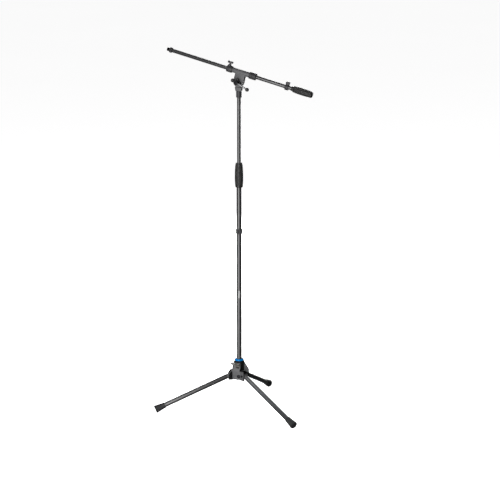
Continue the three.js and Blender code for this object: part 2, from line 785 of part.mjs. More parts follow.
function buildWingScrew(boom) {
  const place = frame(boom, wingScrewPlace, 0, 0);
  const padBottom = rodRadius + gap;
  const padTop = padBottom + brakePadHeight;
  piece("brake_pad", cylinder(wingScrewRadius, padBottom, padTop), palePlastic(), place);
  const collar = wingBossHeight + gap;
  const low = collar + wingNeckHeight;
  const high = low + wingHeight;
  const half = wingSpan / 2;
  const wings = outlineOf([
    [-4, low + 1.5], [4, low + 1.5], [half - 4, low], [half, low + 3],
    [half, high - 3], [half - 3, high], [4, high - 2], [-4, high - 2],
    [3 - half, high], [-half, high - 3], [-half, low + 3], [4 - half, low],
  ]);
  const screw = joined([
    cylinder(wingScrewRadius, padTop + gap, low + 2),
    cylinder(wingNeckRadius, collar, high - 1.5),
    plate(wings, -2.5, 2.5),
  ]);
  piece("wing_screw", screw, darkPlastic(), place);
}

function buildBoom(boom) {
  const bore = rodRadius - tubeWall;
  piece("boom_rod", alongX(ring(rodRadius, bore, rodFront, rodRear, 24)), tubePaint(), boom);
  const shoulder = rodFront - gap;
  const tip = shoulder - boomStudLength;
  const stud = [
    [0, tip],
    [studRadius - studChamfer, tip],
    [studRadius, tip + studChamfer],
    [studRadius, shoulder],
    [bore - gap, shoulder],
    [bore - gap, shoulder + studPlugLength],
    [0, shoulder + studPlugLength],
  ];
  piece("boom_stud", alongX(turned(stud)), blackSteel(), boom);
  const lockRing = ring(studRingRadius, studRadius + run, shoulder - studRingLength, shoulder, 24);
  piece("stud_ring", alongX(lockRing), darkPlastic(), boom);
  const clip = cableClip(rodRadius, boomClipLength, boomClipWall, boomJawReach)
    .rotate([-90, 0, 0])
    .rotate([0, 0, -90]);
  piece("boom_clip", clip, darkPlastic(), frame(boom, boomClipPlace, 0, 0));
  buildBoomGrip(boom);
}

function buildBoomGrip(boom) {
  const pocket = rodRadius + gap;
  const profile = [
    [0, rodRear + gap],
    [pocket, rodRear + gap],
    [pocket, gripNeckPlace],
    [pocket + gripNeckWall, gripNeckPlace],
    [pocket + gripNeckWall, gripPlace],
    ...barrel(gripEndRadius, gripBulge, gripPlace, gripPlace + gripLength),
    [0, gripPlace + gripLength],
  ];
  piece("boom_grip", alongX(turned(profile)), gripRubber(), boom);
}

legAzimuths.forEach((azimuth, index) => buildLeg(index + 1, azimuth));
buildHubCasting();
buildHubCover();
buildTrimRing();
buildSetScrew();
buildReleaseLever();
buildTubes();
buildColumnStud();
buildClutch();
buildColumnClip();
buildYoke();
buildSpindle(frame(model, 0, 0, tiltHeight));
const tilt = frame(model, 0, 0, tiltHeight);
tilt.rotation.y = boomSlope;
buildBracket(tilt);
const boom = frame(tilt, 0, 0, boomOffset);
buildBoomCollars(boom);
buildWingScrew(boom);
buildBoom(boom);

// The origin lies under the middle of the whole stand, on the floor.
const stand = new THREE.Group();
stand.add(model);
stand.updateMatrixWorld(true);
const extent = new THREE.Box3().setFromObject(stand, true);
const middle = extent.getCenter(new THREE.Vector3());
model.position.set(-middle.x, -middle.y, -extent.min.z);

export default stand;
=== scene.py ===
"""A boom microphone stand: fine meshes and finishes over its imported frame, in metres."""

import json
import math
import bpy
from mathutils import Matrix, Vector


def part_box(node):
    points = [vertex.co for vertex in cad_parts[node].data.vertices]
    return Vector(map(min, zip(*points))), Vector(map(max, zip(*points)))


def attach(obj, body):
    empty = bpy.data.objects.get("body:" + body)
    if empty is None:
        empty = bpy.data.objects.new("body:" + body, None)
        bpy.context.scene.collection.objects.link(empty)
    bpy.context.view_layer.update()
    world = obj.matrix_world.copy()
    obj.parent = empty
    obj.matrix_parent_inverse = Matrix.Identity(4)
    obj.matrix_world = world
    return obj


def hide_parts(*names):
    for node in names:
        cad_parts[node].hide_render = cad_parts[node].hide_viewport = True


bl_info = {
    "name": "Boom Microphone Stand",
    "version": (1, 0, 0),
    "blender": (4, 5, 0),
    "location": "3D View > Sidebar > Stand",
    "description": "Builds the fine pieces, finishes and stage of a boom microphone stand",
    "category": "Object",
}

import bmesh
import bpy
from mathutils import Matrix, Vector

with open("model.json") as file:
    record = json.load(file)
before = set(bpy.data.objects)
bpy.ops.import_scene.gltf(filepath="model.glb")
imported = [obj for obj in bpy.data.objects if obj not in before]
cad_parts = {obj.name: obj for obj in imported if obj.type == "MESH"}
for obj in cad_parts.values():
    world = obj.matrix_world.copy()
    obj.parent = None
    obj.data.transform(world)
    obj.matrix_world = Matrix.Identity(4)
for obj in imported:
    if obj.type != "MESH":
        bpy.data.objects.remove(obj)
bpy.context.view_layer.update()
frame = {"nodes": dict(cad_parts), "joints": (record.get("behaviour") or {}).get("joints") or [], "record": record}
JOINTS = {joint["name"]: joint for joint in frame["joints"]}
BODY_OF = {node: body for body, nodes in frame["record"]["behaviour"]["bodies"].items() for node in nodes}
SLOT_OF = {part["node"]: part["material_slot"] for part in frame["record"]["subparts"]}
MM = 0.001
UP = Vector((0, 0, 1))


# Places

class Axle:
    """A line that pieces are turned about: where it starts, where it runs and which way is sideways."""

    def __init__(self, origin, along, across):
        self.origin = Vector(origin)
        self.along = Vector(along).normalized()
        across = Vector(across)
        self.across = (across - self.along * across.dot(self.along)).normalized()
        self.third = self.along.cross(self.across)

    def matrix(self):
        place = Matrix((self.across, self.third, self.along)).transposed().to_4x4()
        place.translation = self.origin
        return place

    def local(self, point):
        offset = Vector(point) - self.origin
        return Vector((offset.dot(self.across), offset.dot(self.third), offset.dot(self.along)))

    def corners(self, node):
        return [self.local(vertex.co) for vertex in frame["nodes"][node].data.vertices]

    def span(self, node):
        """Lowest and highest place of a frame node along the axle."""
        heights = [corner.z for corner in self.corners(node)]
        return min(heights), max(heights)

    def outer(self, node, low=-math.inf, high=math.inf):
        """Largest radius of a frame node between two places along the axle."""
        return max(corner.xy.length for corner in self.corners(node) if low <= corner.z <= high)

    def inner(self, node, low=-math.inf, high=math.inf):
        """Smallest radius of a frame node between two places along the axle."""
        return min(corner.xy.length for corner in self.corners(node) if low <= corner.z <= high)

    def moved(self, distance):
        return Axle(self.origin + self.along * distance, self.along, self.across)


def middle(node):
    low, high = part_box(node)
    return (Vector(low) + Vector(high)) / 2


def nearest(origin, along, point):
    """The point of a line that lies nearest to another point."""
    along = Vector(along).normalized()
    return Vector(origin) + along * (Vector(point) - Vector(origin)).dot(along)


COLUMN_FOOT = middle("lower_tube").xy.to_3d()
COLUMN = Axle(COLUMN_FOOT, UP, (1, 0, 0))
PIVOT = Vector(JOINTS["boom_tilt"]["pos_m"])
BOOM_ALONG = Vector(JOINTS["boom_slide"]["axis"])
BOOM = Axle(nearest(middle("boom_rod"), BOOM_ALONG, PIVOT), BOOM_ALONG, (0, 1, 0))
SPINDLE = Axle(PIVOT, (0, 1, 0), (1, 0, 0))
T_BAR_AXIS = JOINTS["t_bar_slide"]["axis"]
T_BAR = Axle(nearest(middle("tommy_bar"), T_BAR_AXIS, PIVOT), T_BAR_AXIS, (0, 1, 0))
WING = Axle(
    nearest(middle("boom_rod"), BOOM_ALONG, JOINTS["wing_screw_turn"]["pos_m"]),
    JOINTS["wing_screw_turn"]["axis"], BOOM_ALONG,
)
TILT = Axle(PIVOT, (0, 1, 0), BOOM_ALONG)
LEVER = Axle(JOINTS["release_lever"]["pos_m"], (1, 0, 0), (0, -1, 0))
HUB_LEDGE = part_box("hub_casting")[0][2] + 40.5 * MM
WINDOW_FLOOR = JOINTS["release_lever"]["pos_m"][2] - 20 * MM
LEGS = (1, 2, 3)


def leg_axle(number):
    hinge = Vector(JOINTS[f"leg_fold_{number}"]["pos_m"])
    return Axle(hinge, middle(f"leg_tube_{number}") - hinge, JOINTS[f"leg_fold_{number}"]["axis"])


def leg_direction(number):
    """From the column towards a leg."""
    return (Vector(JOINTS[f"leg_fold_{number}"]["pos_m"]).xy.to_3d() - COLUMN_FOOT).normalized()


def bolt_axle(number):
    joint = JOINTS[f"leg_fold_{number}"]
    return Axle(joint["pos_m"], -Vector(joint["axis"]), UP)


# Shader arithmetic

class Field:
    """A value that changes over a surface: a node's output that takes part in sums."""

    def __init__(self, tree, socket):
        self.tree = tree
        self.socket = socket

    def feed(self, operation, *values):
        node = self.tree.nodes.new("ShaderNodeMath")
        node.operation = operation
        for entry, value in zip(node.inputs, values):
            if isinstance(value, Field):
                self.tree.links.new(value.socket, entry)
            else:
                entry.default_value = value
        return Field(self.tree, node.outputs[0])

    def __add__(self, other):
        return self.feed("ADD", self, other)

    __radd__ = __add__

    def __sub__(self, other):
        return self.feed("SUBTRACT", self, other)

    def __rsub__(self, other):
        return self.feed("SUBTRACT", other, self)

    def __mul__(self, other):
        return self.feed("MULTIPLY", self, other)

    __rmul__ = __mul__

    def __gt__(self, other):
        return self.feed("GREATER_THAN", self, other)


class Finish:
    """A procedural material under construction."""

    def __init__(self, name):
        self.material = bpy.data.materials.new(name)
        self.material.use_nodes = True
        self.tree = self.material.node_tree
        self.shader = self.tree.nodes["Principled BSDF"]
        self.place = self.node("ShaderNodeTexCoord").outputs["Object"]

    def node(self, kind, settings=None, **values):
        """Adds a node, sets its settings, then its sockets by name with _ for a space."""
        made = self.tree.nodes.new(kind)
        for key, value in (settings or {}).items():
            setattr(made, key, value)
        for key, value in values.items():
            self.give(made.inputs[key.replace("_", " ")], value)
        return made

    def give(self, socket, value):
        if isinstance(value, Field):
            self.tree.links.new(value.socket, socket)
        elif isinstance(value, bpy.types.NodeSocket):
            self.tree.links.new(value, socket)
        else:
            socket.default_value = value

    def noise(self, scale, detail=4.0, roughness=0.6, stretch=(1, 1, 1)):
        place = self.node("ShaderNodeVectorMath", {"operation": "MULTIPLY"})
        self.give(place.inputs[0], self.place)
        place.inputs[1].default_value = stretch
        texture = self.node(
            "ShaderNodeTexNoise", Vector=place.outputs[0], Scale=scale, Detail=detail, Roughness=roughness,
        )
        return Field(self.tree, texture.outputs["Fac"])

    def cells(self, scale):
        texture = self.node("ShaderNodeTexVoronoi", Vector=self.place, Scale=scale)
        return Field(self.tree, texture.outputs["Distance"])

    def steps(self, value, low, high):
        """Rises smoothly from 0 at low to 1 at high."""
        ramp = self.node("ShaderNodeMapRange", {"interpolation_type": "SMOOTHSTEP"}, Value=value)
        ramp.inputs["From Min"].default_value = low
        ramp.inputs["From Max"].default_value = high
        return Field(self.tree, ramp.outputs["Result"])

    def blend(self, factor, one, other):
        """A colour between two others."""
        mix = self.node("ShaderNodeMix", {"data_type": "RGBA"})
        self.give(mix.inputs[0], factor)
        self.give(mix.inputs[6], one)
        self.give(mix.inputs[7], other)
        return mix.outputs[2]

    def bump(self, height, strength, distance):
        relief = self.node("ShaderNodeBump", Strength=strength, Distance=distance, Height=height)
        return relief.outputs["Normal"]

    def surface(self, **values):
        for key, value in values.items():
            self.give(self.shader.inputs[key.replace("_", " ")], value)
        return self.material


def shade(colour, factor):
    return (*[min(1.0, channel * factor) for channel in colour[:3]], 1.0)


# Mesh work

def placed(name, mesh, place):
    piece = bpy.data.objects.new(name, mesh)
    piece.matrix_world = place
    bpy.context.scene.collection.objects.link(piece)
    return piece


def mesh_from(name, form):
    bmesh.ops.remove_doubles(form, verts=form.verts, dist=1e-7)
    bmesh.ops.recalc_face_normals(form, faces=form.faces)
    mesh = bpy.data.meshes.new(name)
    form.to_mesh(mesh)
    form.free()
    return mesh


def rounded(profile, size, steps=3):
    """A closed outline with each corner turned into a small arc, as far as its sides allow."""
    points = [Vector(point) for point in profile]
    result = []
    for index, corner in enumerate(points):
        before = points[index - 1] - corner
        after = points[(index + 1) % len(points)] - corner
        on_axis = abs(corner.x) < 1e-9
        if on_axis or before.length < 1e-9 or after.length < 1e-9 or before.angle(after) > 3.0:
            result.append(corner)
            continue
        reach = min(size, before.length * 0.45, after.length * 0.45)
        start = corner + before.normalized() * reach
        end = corner + after.normalized() * reach
        for step in range(steps + 1):
            share = step / steps
            result.append(start.lerp(corner, share).lerp(corner.lerp(end, share), share))
    return result


def turned(name, axle, profile, edge=0.4 * MM, sides=64):
    """A piece turned about an axle from a closed outline of (radius, place) points."""
    outline = rounded(profile, edge)
    form = bmesh.new()
    rings = []
    for side in range(sides):
        angle = 2 * math.pi * side / sides
        rings.append([form.verts.new((p.x * math.cos(angle), p.x * math.sin(angle), p.y)) for p in outline])
    for side, ring in enumerate(rings):
        following = rings[(side + 1) % sides]
        for index in range(len(outline)):
            after = (index + 1) % len(outline)
            if outline[index].x < 1e-9 and outline[after].x < 1e-9:
                continue
            form.faces.new((ring[index], following[index], following[after], ring[after]))
    return placed(name, mesh_from(name, form), axle.matrix())


def sculpted(name, axle, radius, low, high, inner, rows, sides):
    """A turned sleeve whose outside radius is a function of place and angle; inner 0 closes its ends."""
    form = bmesh.new()
    rings = []
    for row in range(rows + 1):
        place = low + (high - low) * row / rows
        angles = [2 * math.pi * side / sides for side in range(sides)]
        rings.append([
            form.verts.new((
                radius(place, angle) * math.cos(angle), radius(place, angle) * math.sin(angle), place,
            ))
            for angle in angles
        ])
    if inner > 0:
        for place in (high, low):
            angles = [2 * math.pi * side / sides for side in range(sides)]
            rings.append([form.verts.new((inner * math.cos(a), inner * math.sin(a), place)) for a in angles])
        rings.append(rings[0])
    for ring, following in zip(rings, rings[1:]):
        for side in range(sides):
            after = (side + 1) % sides
            form.faces.new((ring[side], ring[after], following[after], following[side]))
    if inner <= 0:
        form.faces.new(rings[0])
        form.faces.new(rings[-1])
    return placed(name, mesh_from(name, form), axle.matrix())


def prism(name, place, outline, low, high):
    """A plate: an outline in the place's first two directions, between two heights."""
    form = bmesh.new()
    floor = [form.verts.new((x, y, low)) for x, y in outline]
    roof = [form.verts.new((x, y, high)) for x, y in outline]
    form.faces.new(floor)
    form.faces.new(roof)
    for index in range(len(outline)):
        after = (index + 1) % len(outline)
        form.faces.new((floor[index], floor[after], roof[after], roof[index]))
    return placed(name, mesh_from(name, form), place)


def block(place, low, high):
    outline = [(low[0], low[1]), (high[0], low[1]), (high[0], high[1]), (low[0], high[1])]
    return prism("block", place, outline, low[2], high[2])


def drum(axle, radius, low, high, sides=48):
    outline = [
        (radius * math.cos(2 * math.pi * side / sides), radius * math.sin(2 * math.pi * side / sides))
        for side in range(sides)
    ]
    return prism("drum", axle.matrix(), outline, low, high)


def arc(centre, radius, start, end, steps=16):
    """Points on an arc, in degrees."""
    points = []
    for step in range(steps + 1):
        angle = math.radians(start + (end - start) * step / steps)
        points.append((centre[0] + radius * math.cos(angle), centre[1] + radius * math.sin(angle)))
    return points


def apply_changes(piece):
    """Turns a piece's modifiers into its mesh."""
    view_layer = bpy.context.view_layer
    view_layer.update()
    made = bpy.data.meshes.new_from_object(piece.evaluated_get(view_layer.depsgraph))
    piece.modifiers.clear()
    piece.data = made
    return piece


def combine(piece, others, operation):
    """Joins the other pieces to this one, or cuts them from it, and removes them."""
    for other in others:
        change = piece.modifiers.new("combine", "BOOLEAN")
        change.operation = operation
        change.solver = "EXACT"
        change.object = other
    apply_changes(piece)
    for other in others:
        bpy.data.objects.remove(other)
    return piece


def softened(piece, width, segments=3):
    """Rounds a cut piece's sharp edges."""
    bevel = piece.modifiers.new("edges", "BEVEL")
    bevel.width = width
    bevel.segments = segments
    bevel.limit_method = "ANGLE"
    bevel.angle_limit = math.radians(28)
    bevel.use_clamp_overlap = True
    return apply_changes(piece)


def smooth(piece, angle=35):
    mesh = piece.data
    mesh.shade_smooth()
    mesh.set_sharp_from_angle(angle=math.radians(angle))
    return piece


def stands_for(piece, node, finish, angle=35):
    """Gives a piece its finish and puts it in a frame node's place."""
    piece.name = f"{node}_fine"
    smooth(piece, angle)
    piece.data.materials.clear()
    piece.data.materials.append(finish)
    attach(piece, BODY_OF[node])
    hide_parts(node)
    return piece


def tube_outline(outer, inner, low, high):
    return [(inner, low), (outer, low), (outer, high), (inner, high)]


def barrel(share, ends, swell):
    """Radius of a grip along its length, from 0 to 1."""
    return ends + swell * max(0.0, math.sin(math.pi * share ** 0.9)) ** 0.6


def lozenge(along, around, pitch, count):
    """A diamond pattern from 0 in its grooves to 1 on its pads."""
    first = (count * around / (2 * math.pi) + along / pitch) % 1
    second = (count * around / (2 * math.pi) - along / pitch) % 1
    groove = min(abs(first - 0.5), abs(second - 0.5))
    edge = max(0.0, min(1.0, (groove - 0.05) / 0.13))
    return edge * edge * (3 - 2 * edge)


def threaded(name, axle, radius, low, high, pitch, depth, lead=1.0 * MM, sides=40):
    """A threaded rod with a short chamfer at both ends."""
    rows = max(8, round((high - low) / pitch * 7))

    def crest(place, angle):
        phase = (place / pitch - angle / (2 * math.pi)) % 1
        chamfer = max(0.0, lead - min(place - low, high - place)) * 0.8
        return radius - depth * abs(2 * phase - 1) - chamfer
    return sculpted(name, axle, crest, low, high, 0, rows, sides)


def hexagon(radius, turn=0.0):
    return [
        (radius * math.cos(math.pi / 3 * side + turn), radius * math.sin(math.pi / 3 * side + turn))
        for side in range(6)
    ]


def nut(name, axle, radius, bore, low, high):
    """A hexagon nut with its corners turned off and a plain bore."""
    body = prism(name, axle.matrix(), hexagon(radius), low, high)
    cone = 0.45 * (radius - radius * math.cos(math.pi / 6))
    envelope = turned("envelope", axle, [
        (0, low), (radius * 0.93, low), (radius * 1.01, low + cone + 0.3 * MM),
        (radius * 1.01, high - cone - 0.3 * MM), (radius * 0.93, high), (0, high),
    ], edge=0)
    combine(body, [envelope], "INTERSECT")
    return combine(body, [drum(axle, bore, low - MM, high + MM)], "DIFFERENCE")


def socket_screw(name, axle, profile, head_face, key, depth, inwards):
    """A turned screw with a hexagon socket cut into its head; inwards is the way the key goes."""
    body = turned(name, axle, profile, edge=0.35 * MM, sides=48)
    near, far = sorted((head_face - inwards * MM, head_face + inwards * depth))
    return combine(body, [prism("key", axle.matrix(), hexagon(key), near, far)], "DIFFERENCE")


# Settings

def length(name, default, description):
    return bpy.props.FloatProperty(
        name=name, description=description, default=default, unit="LENGTH", precision=5,
    )


def angle(name, default, description):
    return bpy.props.FloatProperty(name=name, description=description, default=default, subtype="ANGLE")


def colour(name, default, description):
    return bpy.props.FloatVectorProperty(
        name=name, description=description, default=default, subtype="COLOR", size=3, min=0.0, max=1.0,
    )


class StandSizes(bpy.types.PropertyGroup):
    edge: length("Edge radius", 0.4 * MM, "Rounding of turned edges")
    cast_edge: length("Cast edge radius", 0.9 * MM, "Rounding of cast and moulded edges")
    thread_pitch: length("Thread pitch", 0.94 * MM, "Pitch of the 5/8 inch studs, 27 threads per inch")
    thread_depth: length("Thread depth", 0.5 * MM, "Depth of the studs' threads")
    grip_relief: length("Grip relief", 1.3 * MM, "Height of the grips' diamond pads")
    grip_pitch: length("Grip pitch", 17 * MM, "Length of one diamond along a grip")
    mark_width: length("Mark width", 7.5 * MM, "Width of the plain mark on the lower tube")
    mark_height: length("Mark height", 34 * MM, "Height of the plain mark on the lower tube")
    mark_place: length("Mark place", 0.528, "Height of the mark's middle above the floor")


class StandColours(bpy.types.PropertyGroup):
    tube: colour("Tube paint", (0.006, 0.006, 0.0063), "Satin paint of the tubes")
    cast: colour("Cast paint", (0.026, 0.026, 0.027), "Powder coat of the castings")
    plastic: colour("Dark plastic", (0.009, 0.009, 0.0095), "Moulded collars, knobs and clips")
    grip: colour("Grip rubber", (0.004, 0.004, 0.004), "Rubber of the two grips")
    foot: colour("Foot rubber", (0.007, 0.007, 0.0073), "Rubber of the feet")
    # Painted shade: a near-black that stands in for the shade in the hub's slots, its window and on its fork sides
    recess: colour(
        "Recess", (0.002, 0.002, 0.002), "Unlit black inside the hub's slots and on its fork sides",
    )
    trim: colour("Trim ring", (0.0, 0.056, 0.165), "Blue ring on the hub")
    steel: colour("Bright steel", (0.09, 0.09, 0.092), "Plated studs, bar and washers")
    black_steel: colour("Black steel", (0.005, 0.005, 0.0055), "Blackened bolts and screws")
    lever: colour("Lever metal", (0.046, 0.044, 0.040), "Release lever")
    nylon: colour("Nylon", (0.14, 0.14, 0.13), "Bushes, washers and guides")
    mark: colour("Mark", (0.08, 0.08, 0.078), "Plain printed mark on the lower tube")


class StandCamera(bpy.types.PropertyGroup):
    azimuth: angle(
        "Azimuth", math.radians(21.0), "Turn of the view about the column, from the front towards +X",
    )
    distance: length("Distance", 8.25, "Level distance from the column")
    height: length("Height", 2.5627, "Height above the floor")
    sideways: length("Sideways", 0.0477, "Shift of the camera to its right")
    pitch: angle("Pitch", math.radians(12.55), "How far the view points down")
    lens: bpy.props.FloatProperty(
        name="Lens", description="Focal length in mm on a 36 mm sensor", default=138.76,
    )


def sizes():
    return bpy.context.scene.stand_sizes


def colours():
    return bpy.context.scene.stand_colours


# Finishes

def tube_paint():
    """Satin black paint on drawn tube, with a fine orange peel and faint rub marks along the tube."""
    base = colours().tube
    finish = Finish("tube_paint")
    peel = finish.noise(900, 2)
    cloud = finish.noise(14, 4)
    rubs = finish.noise(60, 6, 0.7, stretch=(14, 14, 0.6))
    wear = finish.steps(rubs, 0.60, 0.78)
    tint = finish.blend(cloud, (*base, 1), shade(base, 1.35))
    return finish.surface(
        Base_Color=finish.blend(wear * 0.35, tint, shade(base, 2.4)),
        Roughness=0.29 + cloud * 0.06 + wear * 0.08,
        Normal=finish.bump(peel, 0.06, 0.05 * MM),
        Specular_IOR_Level=0.28,
    )


def cast_paint():
    """Dark grey powder coat on a die casting: a fine grain with paler, rubbed high spots."""
    base = colours().cast
    finish = Finish("cast_paint")
    grain = finish.cells(1500)
    pits = finish.noise(420, 5)
    cloud = finish.noise(35, 5, 0.65)
    wear = finish.steps(finish.noise(120, 8, 0.7), 0.58, 0.76)
    tint = finish.blend(cloud, shade(base, 0.8), shade(base, 1.3))
    return finish.surface(
        Base_Color=finish.blend(wear * 0.35, tint, shade(base, 1.9)),
        Roughness=0.40 + cloud * 0.14 + pits * 0.06,
        Normal=finish.bump(grain * 0.6 + pits * 0.4, 0.22, 0.09 * MM),
        Specular_IOR_Level=0.12,
    )


def painted_shade_black():
    """Painted shade: a matt black that stands in for the shade inside the hub's slots, with faint paler dust."""
    base = colours().recess
    finish = Finish("painted_shade_black")
    dust = finish.steps(finish.noise(300, 6, 0.7), 0.55, 0.80)
    return finish.surface(
        Base_Color=finish.blend(dust * 0.3, (*base, 1), shade(base, 3.0)),
        Roughness=0.75 + dust * 0.15,
        Normal=finish.bump(dust, 0.2, 0.06 * MM),
        Specular_IOR_Level=0.03,
    )


def dark_plastic():
    """Black moulded plastic with a fine spark-eroded texture."""
    base = colours().plastic
    finish = Finish("dark_plastic")
    texture = finish.noise(1600, 3, 0.7)
    cloud = finish.noise(28, 3)
    scuffs = finish.steps(finish.noise(170, 7, 0.75), 0.62, 0.74)
    return finish.surface(
        Base_Color=finish.blend(
            scuffs * 0.3, finish.blend(cloud, (*base, 1), shade(base, 1.4)), shade(base, 3.0),
        ),
        Roughness=0.34 + cloud * 0.12 + scuffs * 0.10,
        Normal=finish.bump(texture, 0.16, 0.05 * MM),
        Specular_IOR_Level=0.08,
    )


def rubber(name, base, bloom_scale, roughness, gloss):
    """Matt rubber with a pale bloom and a slightly dusty grain."""
    finish = Finish(name)
    grain = finish.noise(1200, 4, 0.75)
    bloom = finish.steps(finish.noise(bloom_scale, 6, 0.7), 0.42, 0.80)
    return finish.surface(
        Base_Color=finish.blend(bloom * 0.6, (*base, 1), shade(base, 2.3)),
        Roughness=roughness + bloom * 0.16 + grain * 0.06,
        Normal=finish.bump(grain, 0.28, 0.07 * MM),
        Specular_IOR_Level=gloss,
    )


def grip_rubber():
    return rubber("grip_rubber", colours().grip, 55, 0.30, 0.12)


def foot_rubber():
    return rubber("foot_rubber", colours().foot, 70, 0.50, 0.06)


def blue_trim():
    """Glossy blue plastic with a few handling marks."""
    base = colours().trim
    finish = Finish("blue_trim")
    cloud = finish.noise(40, 3)
    marks = finish.steps(finish.noise(260, 6, 0.7), 0.60, 0.75)
    return finish.surface(
        Base_Color=finish.blend(cloud, shade(base, 0.88), shade(base, 1.12)),
        Roughness=0.24 + marks * 0.16,
        Normal=finish.bump(marks, 0.08, 0.03 * MM),
        Specular_IOR_Level=0.08,
    )


def bare_metal(name, base, roughness, stretch, metallic=1.0):
    """Metal with brushing lines and slightly dull patches."""
    finish = Finish(name)
    lines = finish.noise(700, 4, 0.8, stretch=stretch)
    patches = finish.noise(60, 5, 0.65)
    tint = finish.blend(patches, shade(base, 0.78), shade(base, 1.08))
    return finish.surface(
        Base_Color=tint, Metallic=metallic,
        Roughness=roughness + patches * 0.14 + lines * 0.06,
        Normal=finish.bump(lines, 0.10, 0.03 * MM),
    )


def bright_steel():
    return bare_metal("bright_steel", colours().steel, 0.35, (1, 1, 0.08), 0.7)


def black_steel():
    return bare_metal("black_steel", colours().black_steel, 0.30, (1, 1, 1))


def lever_metal():
    return bare_metal("lever_metal", colours().lever, 0.42, (0.08, 1, 1), 0.25)


def pale_nylon():
    """Unpainted nylon: slightly mottled and waxy."""
    base = colours().nylon
    finish = Finish("pale_nylon")
    mottle = finish.noise(90, 5)
    return finish.surface(
        Base_Color=finish.blend(mottle, shade(base, 0.86), shade(base, 1.05)),
        Roughness=0.42 + mottle * 0.14,
        Normal=finish.bump(mottle, 0.10, 0.05 * MM),
        Specular_IOR_Level=0.4,
    )


def printed_mark():
    """Worn screen print on the tube."""
    base = colours().mark
    finish = Finish("printed_mark")
    wear = finish.steps(finish.noise(520, 6, 0.7), 0.50, 0.72)
    return finish.surface(
        Base_Color=finish.blend(wear * 0.55, (*base, 1), shade(base, 0.35)),
        Roughness=0.45 + wear * 0.2,
        Normal=finish.bump(wear, 0.1, 0.02 * MM),
    )


FINISHES = {
    "tube_paint": tube_paint, "cast_paint": cast_paint, "painted_shade_black": painted_shade_black,
    "dark_plastic": dark_plastic,
    "grip_rubber": grip_rubber, "foot_rubber": foot_rubber, "blue_trim": blue_trim,
    "bright_steel": bright_steel, "black_steel": black_steel, "lever_metal": lever_metal,
    "pale_plastic": pale_nylon, "printed_mark": printed_mark,
}


made_finishes = {}


def finish_called(name):
    """The finish of a material slot, made the first time it is asked for."""
    if name not in made_finishes:
        made_finishes[name] = FINISHES[name]()
    return made_finishes[name]


def own_finish(node):
    return finish_called(SLOT_OF[node])


def fit(piece, node, angle_limit=35):
    return stands_for(piece, node, own_finish(node), angle_limit)


# Pieces

def refined(node, width, segments=3, level=None):
    """A fine copy of a cut frame node: joined corners, whole flat faces and rounded edges.

    Faces that cross a level are divided there."""
    form = bmesh.new()
    form.from_mesh(frame["nodes"][node].data)
    bmesh.ops.remove_doubles(form, verts=form.verts, dist=0.02 * MM)
    bmesh.ops.dissolve_limit(form, angle_limit=math.radians(1.0), verts=form.verts, edges=form.edges)
    if level is not None:
        everything = form.verts[:] + form.edges[:] + form.faces[:]
        bmesh.ops.bisect_plane(form, geom=everything, plane_co=UP * level, plane_no=UP)
    piece = placed(node + "_copy", mesh_from(node, form), Matrix.Identity(4))
    return softened(piece, width, segments)


def build_tubes():
    edge = sizes().edge
    places = [("lower_tube", COLUMN), ("upper_tube", COLUMN), ("boom_rod", BOOM)]
    places += [(f"leg_tube_{number}", leg_axle(number)) for number in LEGS]
    for node, axle in places:
        low, high = axle.span(node)
        outline = tube_outline(axle.outer(node), axle.inner(node), low, high)
        fit(turned(node, axle, outline, edge, sides=72), node)


def build_mark():
    """A plain grey mark printed on the lower tube, with no lettering."""
    radius = COLUMN.outer("lower_tube")
    half_turn = sizes().mark_width / 2 / radius
    facing = math.radians(-69)
    low = sizes().mark_place - sizes().mark_height / 2
    form = bmesh.new()
    columns, rows = 12, 16
    grid = []
    for row in range(rows + 1):
        share = abs(2 * row / rows - 1)
        round_end = math.sqrt(max(0.04, 1 - max(0.0, (share - 0.86) / 0.14) ** 2))
        place = low + sizes().mark_height * row / rows
        grid.append([])
        for column in range(columns + 1):
            turn = facing + half_turn * round_end * (2 * column / columns - 1)
            reach = radius + 0.06 * MM
            grid[-1].append(form.verts.new((reach * math.cos(turn), reach * math.sin(turn), place)))
    for row in range(rows):
        for column in range(columns):
            form.faces.new((
                grid[row][column], grid[row][column + 1], grid[row + 1][column + 1], grid[row + 1][column],
            ))
    piece = placed("tube_mark", mesh_from("tube_mark", form), COLUMN.matrix())
    thick = piece.modifiers.new("thickness", "SOLIDIFY")
    thick.thickness = 0.05 * MM
    thick.offset = 0
    apply_changes(piece)
    smooth(piece)
    piece.data.materials.append(finish_called("printed_mark"))
    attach(piece, "base")


def paint_shade_in_recesses(piece):
    """Paints shade: the floors of the hub's slots, its window, the set screw's hollow, the outer sides of its
    forks and its slot mouths get a near-black that stands in for the shade there.
    """
    piece.data.materials.append(finish_called("painted_shade_black"))
    directions = [leg_direction(number) for number in LEGS]
    screw = middle("column_set_screw") - COLUMN_FOOT
    outward = screw.xy.to_3d().normalized()
    # Faces where shade falls get the painted shade black as their second material
    for face in piece.data.polygons:
        place = face.center - COLUMN_FOOT
        beside = place - screw
        beside -= outward * beside.dot(outward)
        if beside.length < 9 * MM and place.dot(outward) > 0 and face.area < 2.4e-4:
            face.material_index = 1
        if abs(place.x) < 11 * MM and -25 * MM < place.y < -10 * MM and place.z > WINDOW_FLOOR:
            face.material_index = 1
        for along in directions:
            across = UP.cross(along)
            reach, side = place.dot(along), place.dot(across)
            in_slot = -22 * MM < side < 12 * MM and 15 * MM < reach < 30 * MM
            slot_floor = in_slot and face.normal.dot(along) > 0.7
            fork_side = side > 14.5 * MM and reach > 34 * MM and face.normal.dot(across) > 0.9
            fork_end = reach > 45 * MM and face.normal.dot(along) > 0.9
            slot_wall = abs(side) < 13 * MM and reach > 28 * MM and abs(face.normal.dot(across)) > 0.7
            mouth = (fork_end or slot_wall) and place.z < HUB_LEDGE
            if slot_floor or fork_side or mouth:
                face.material_index = 1


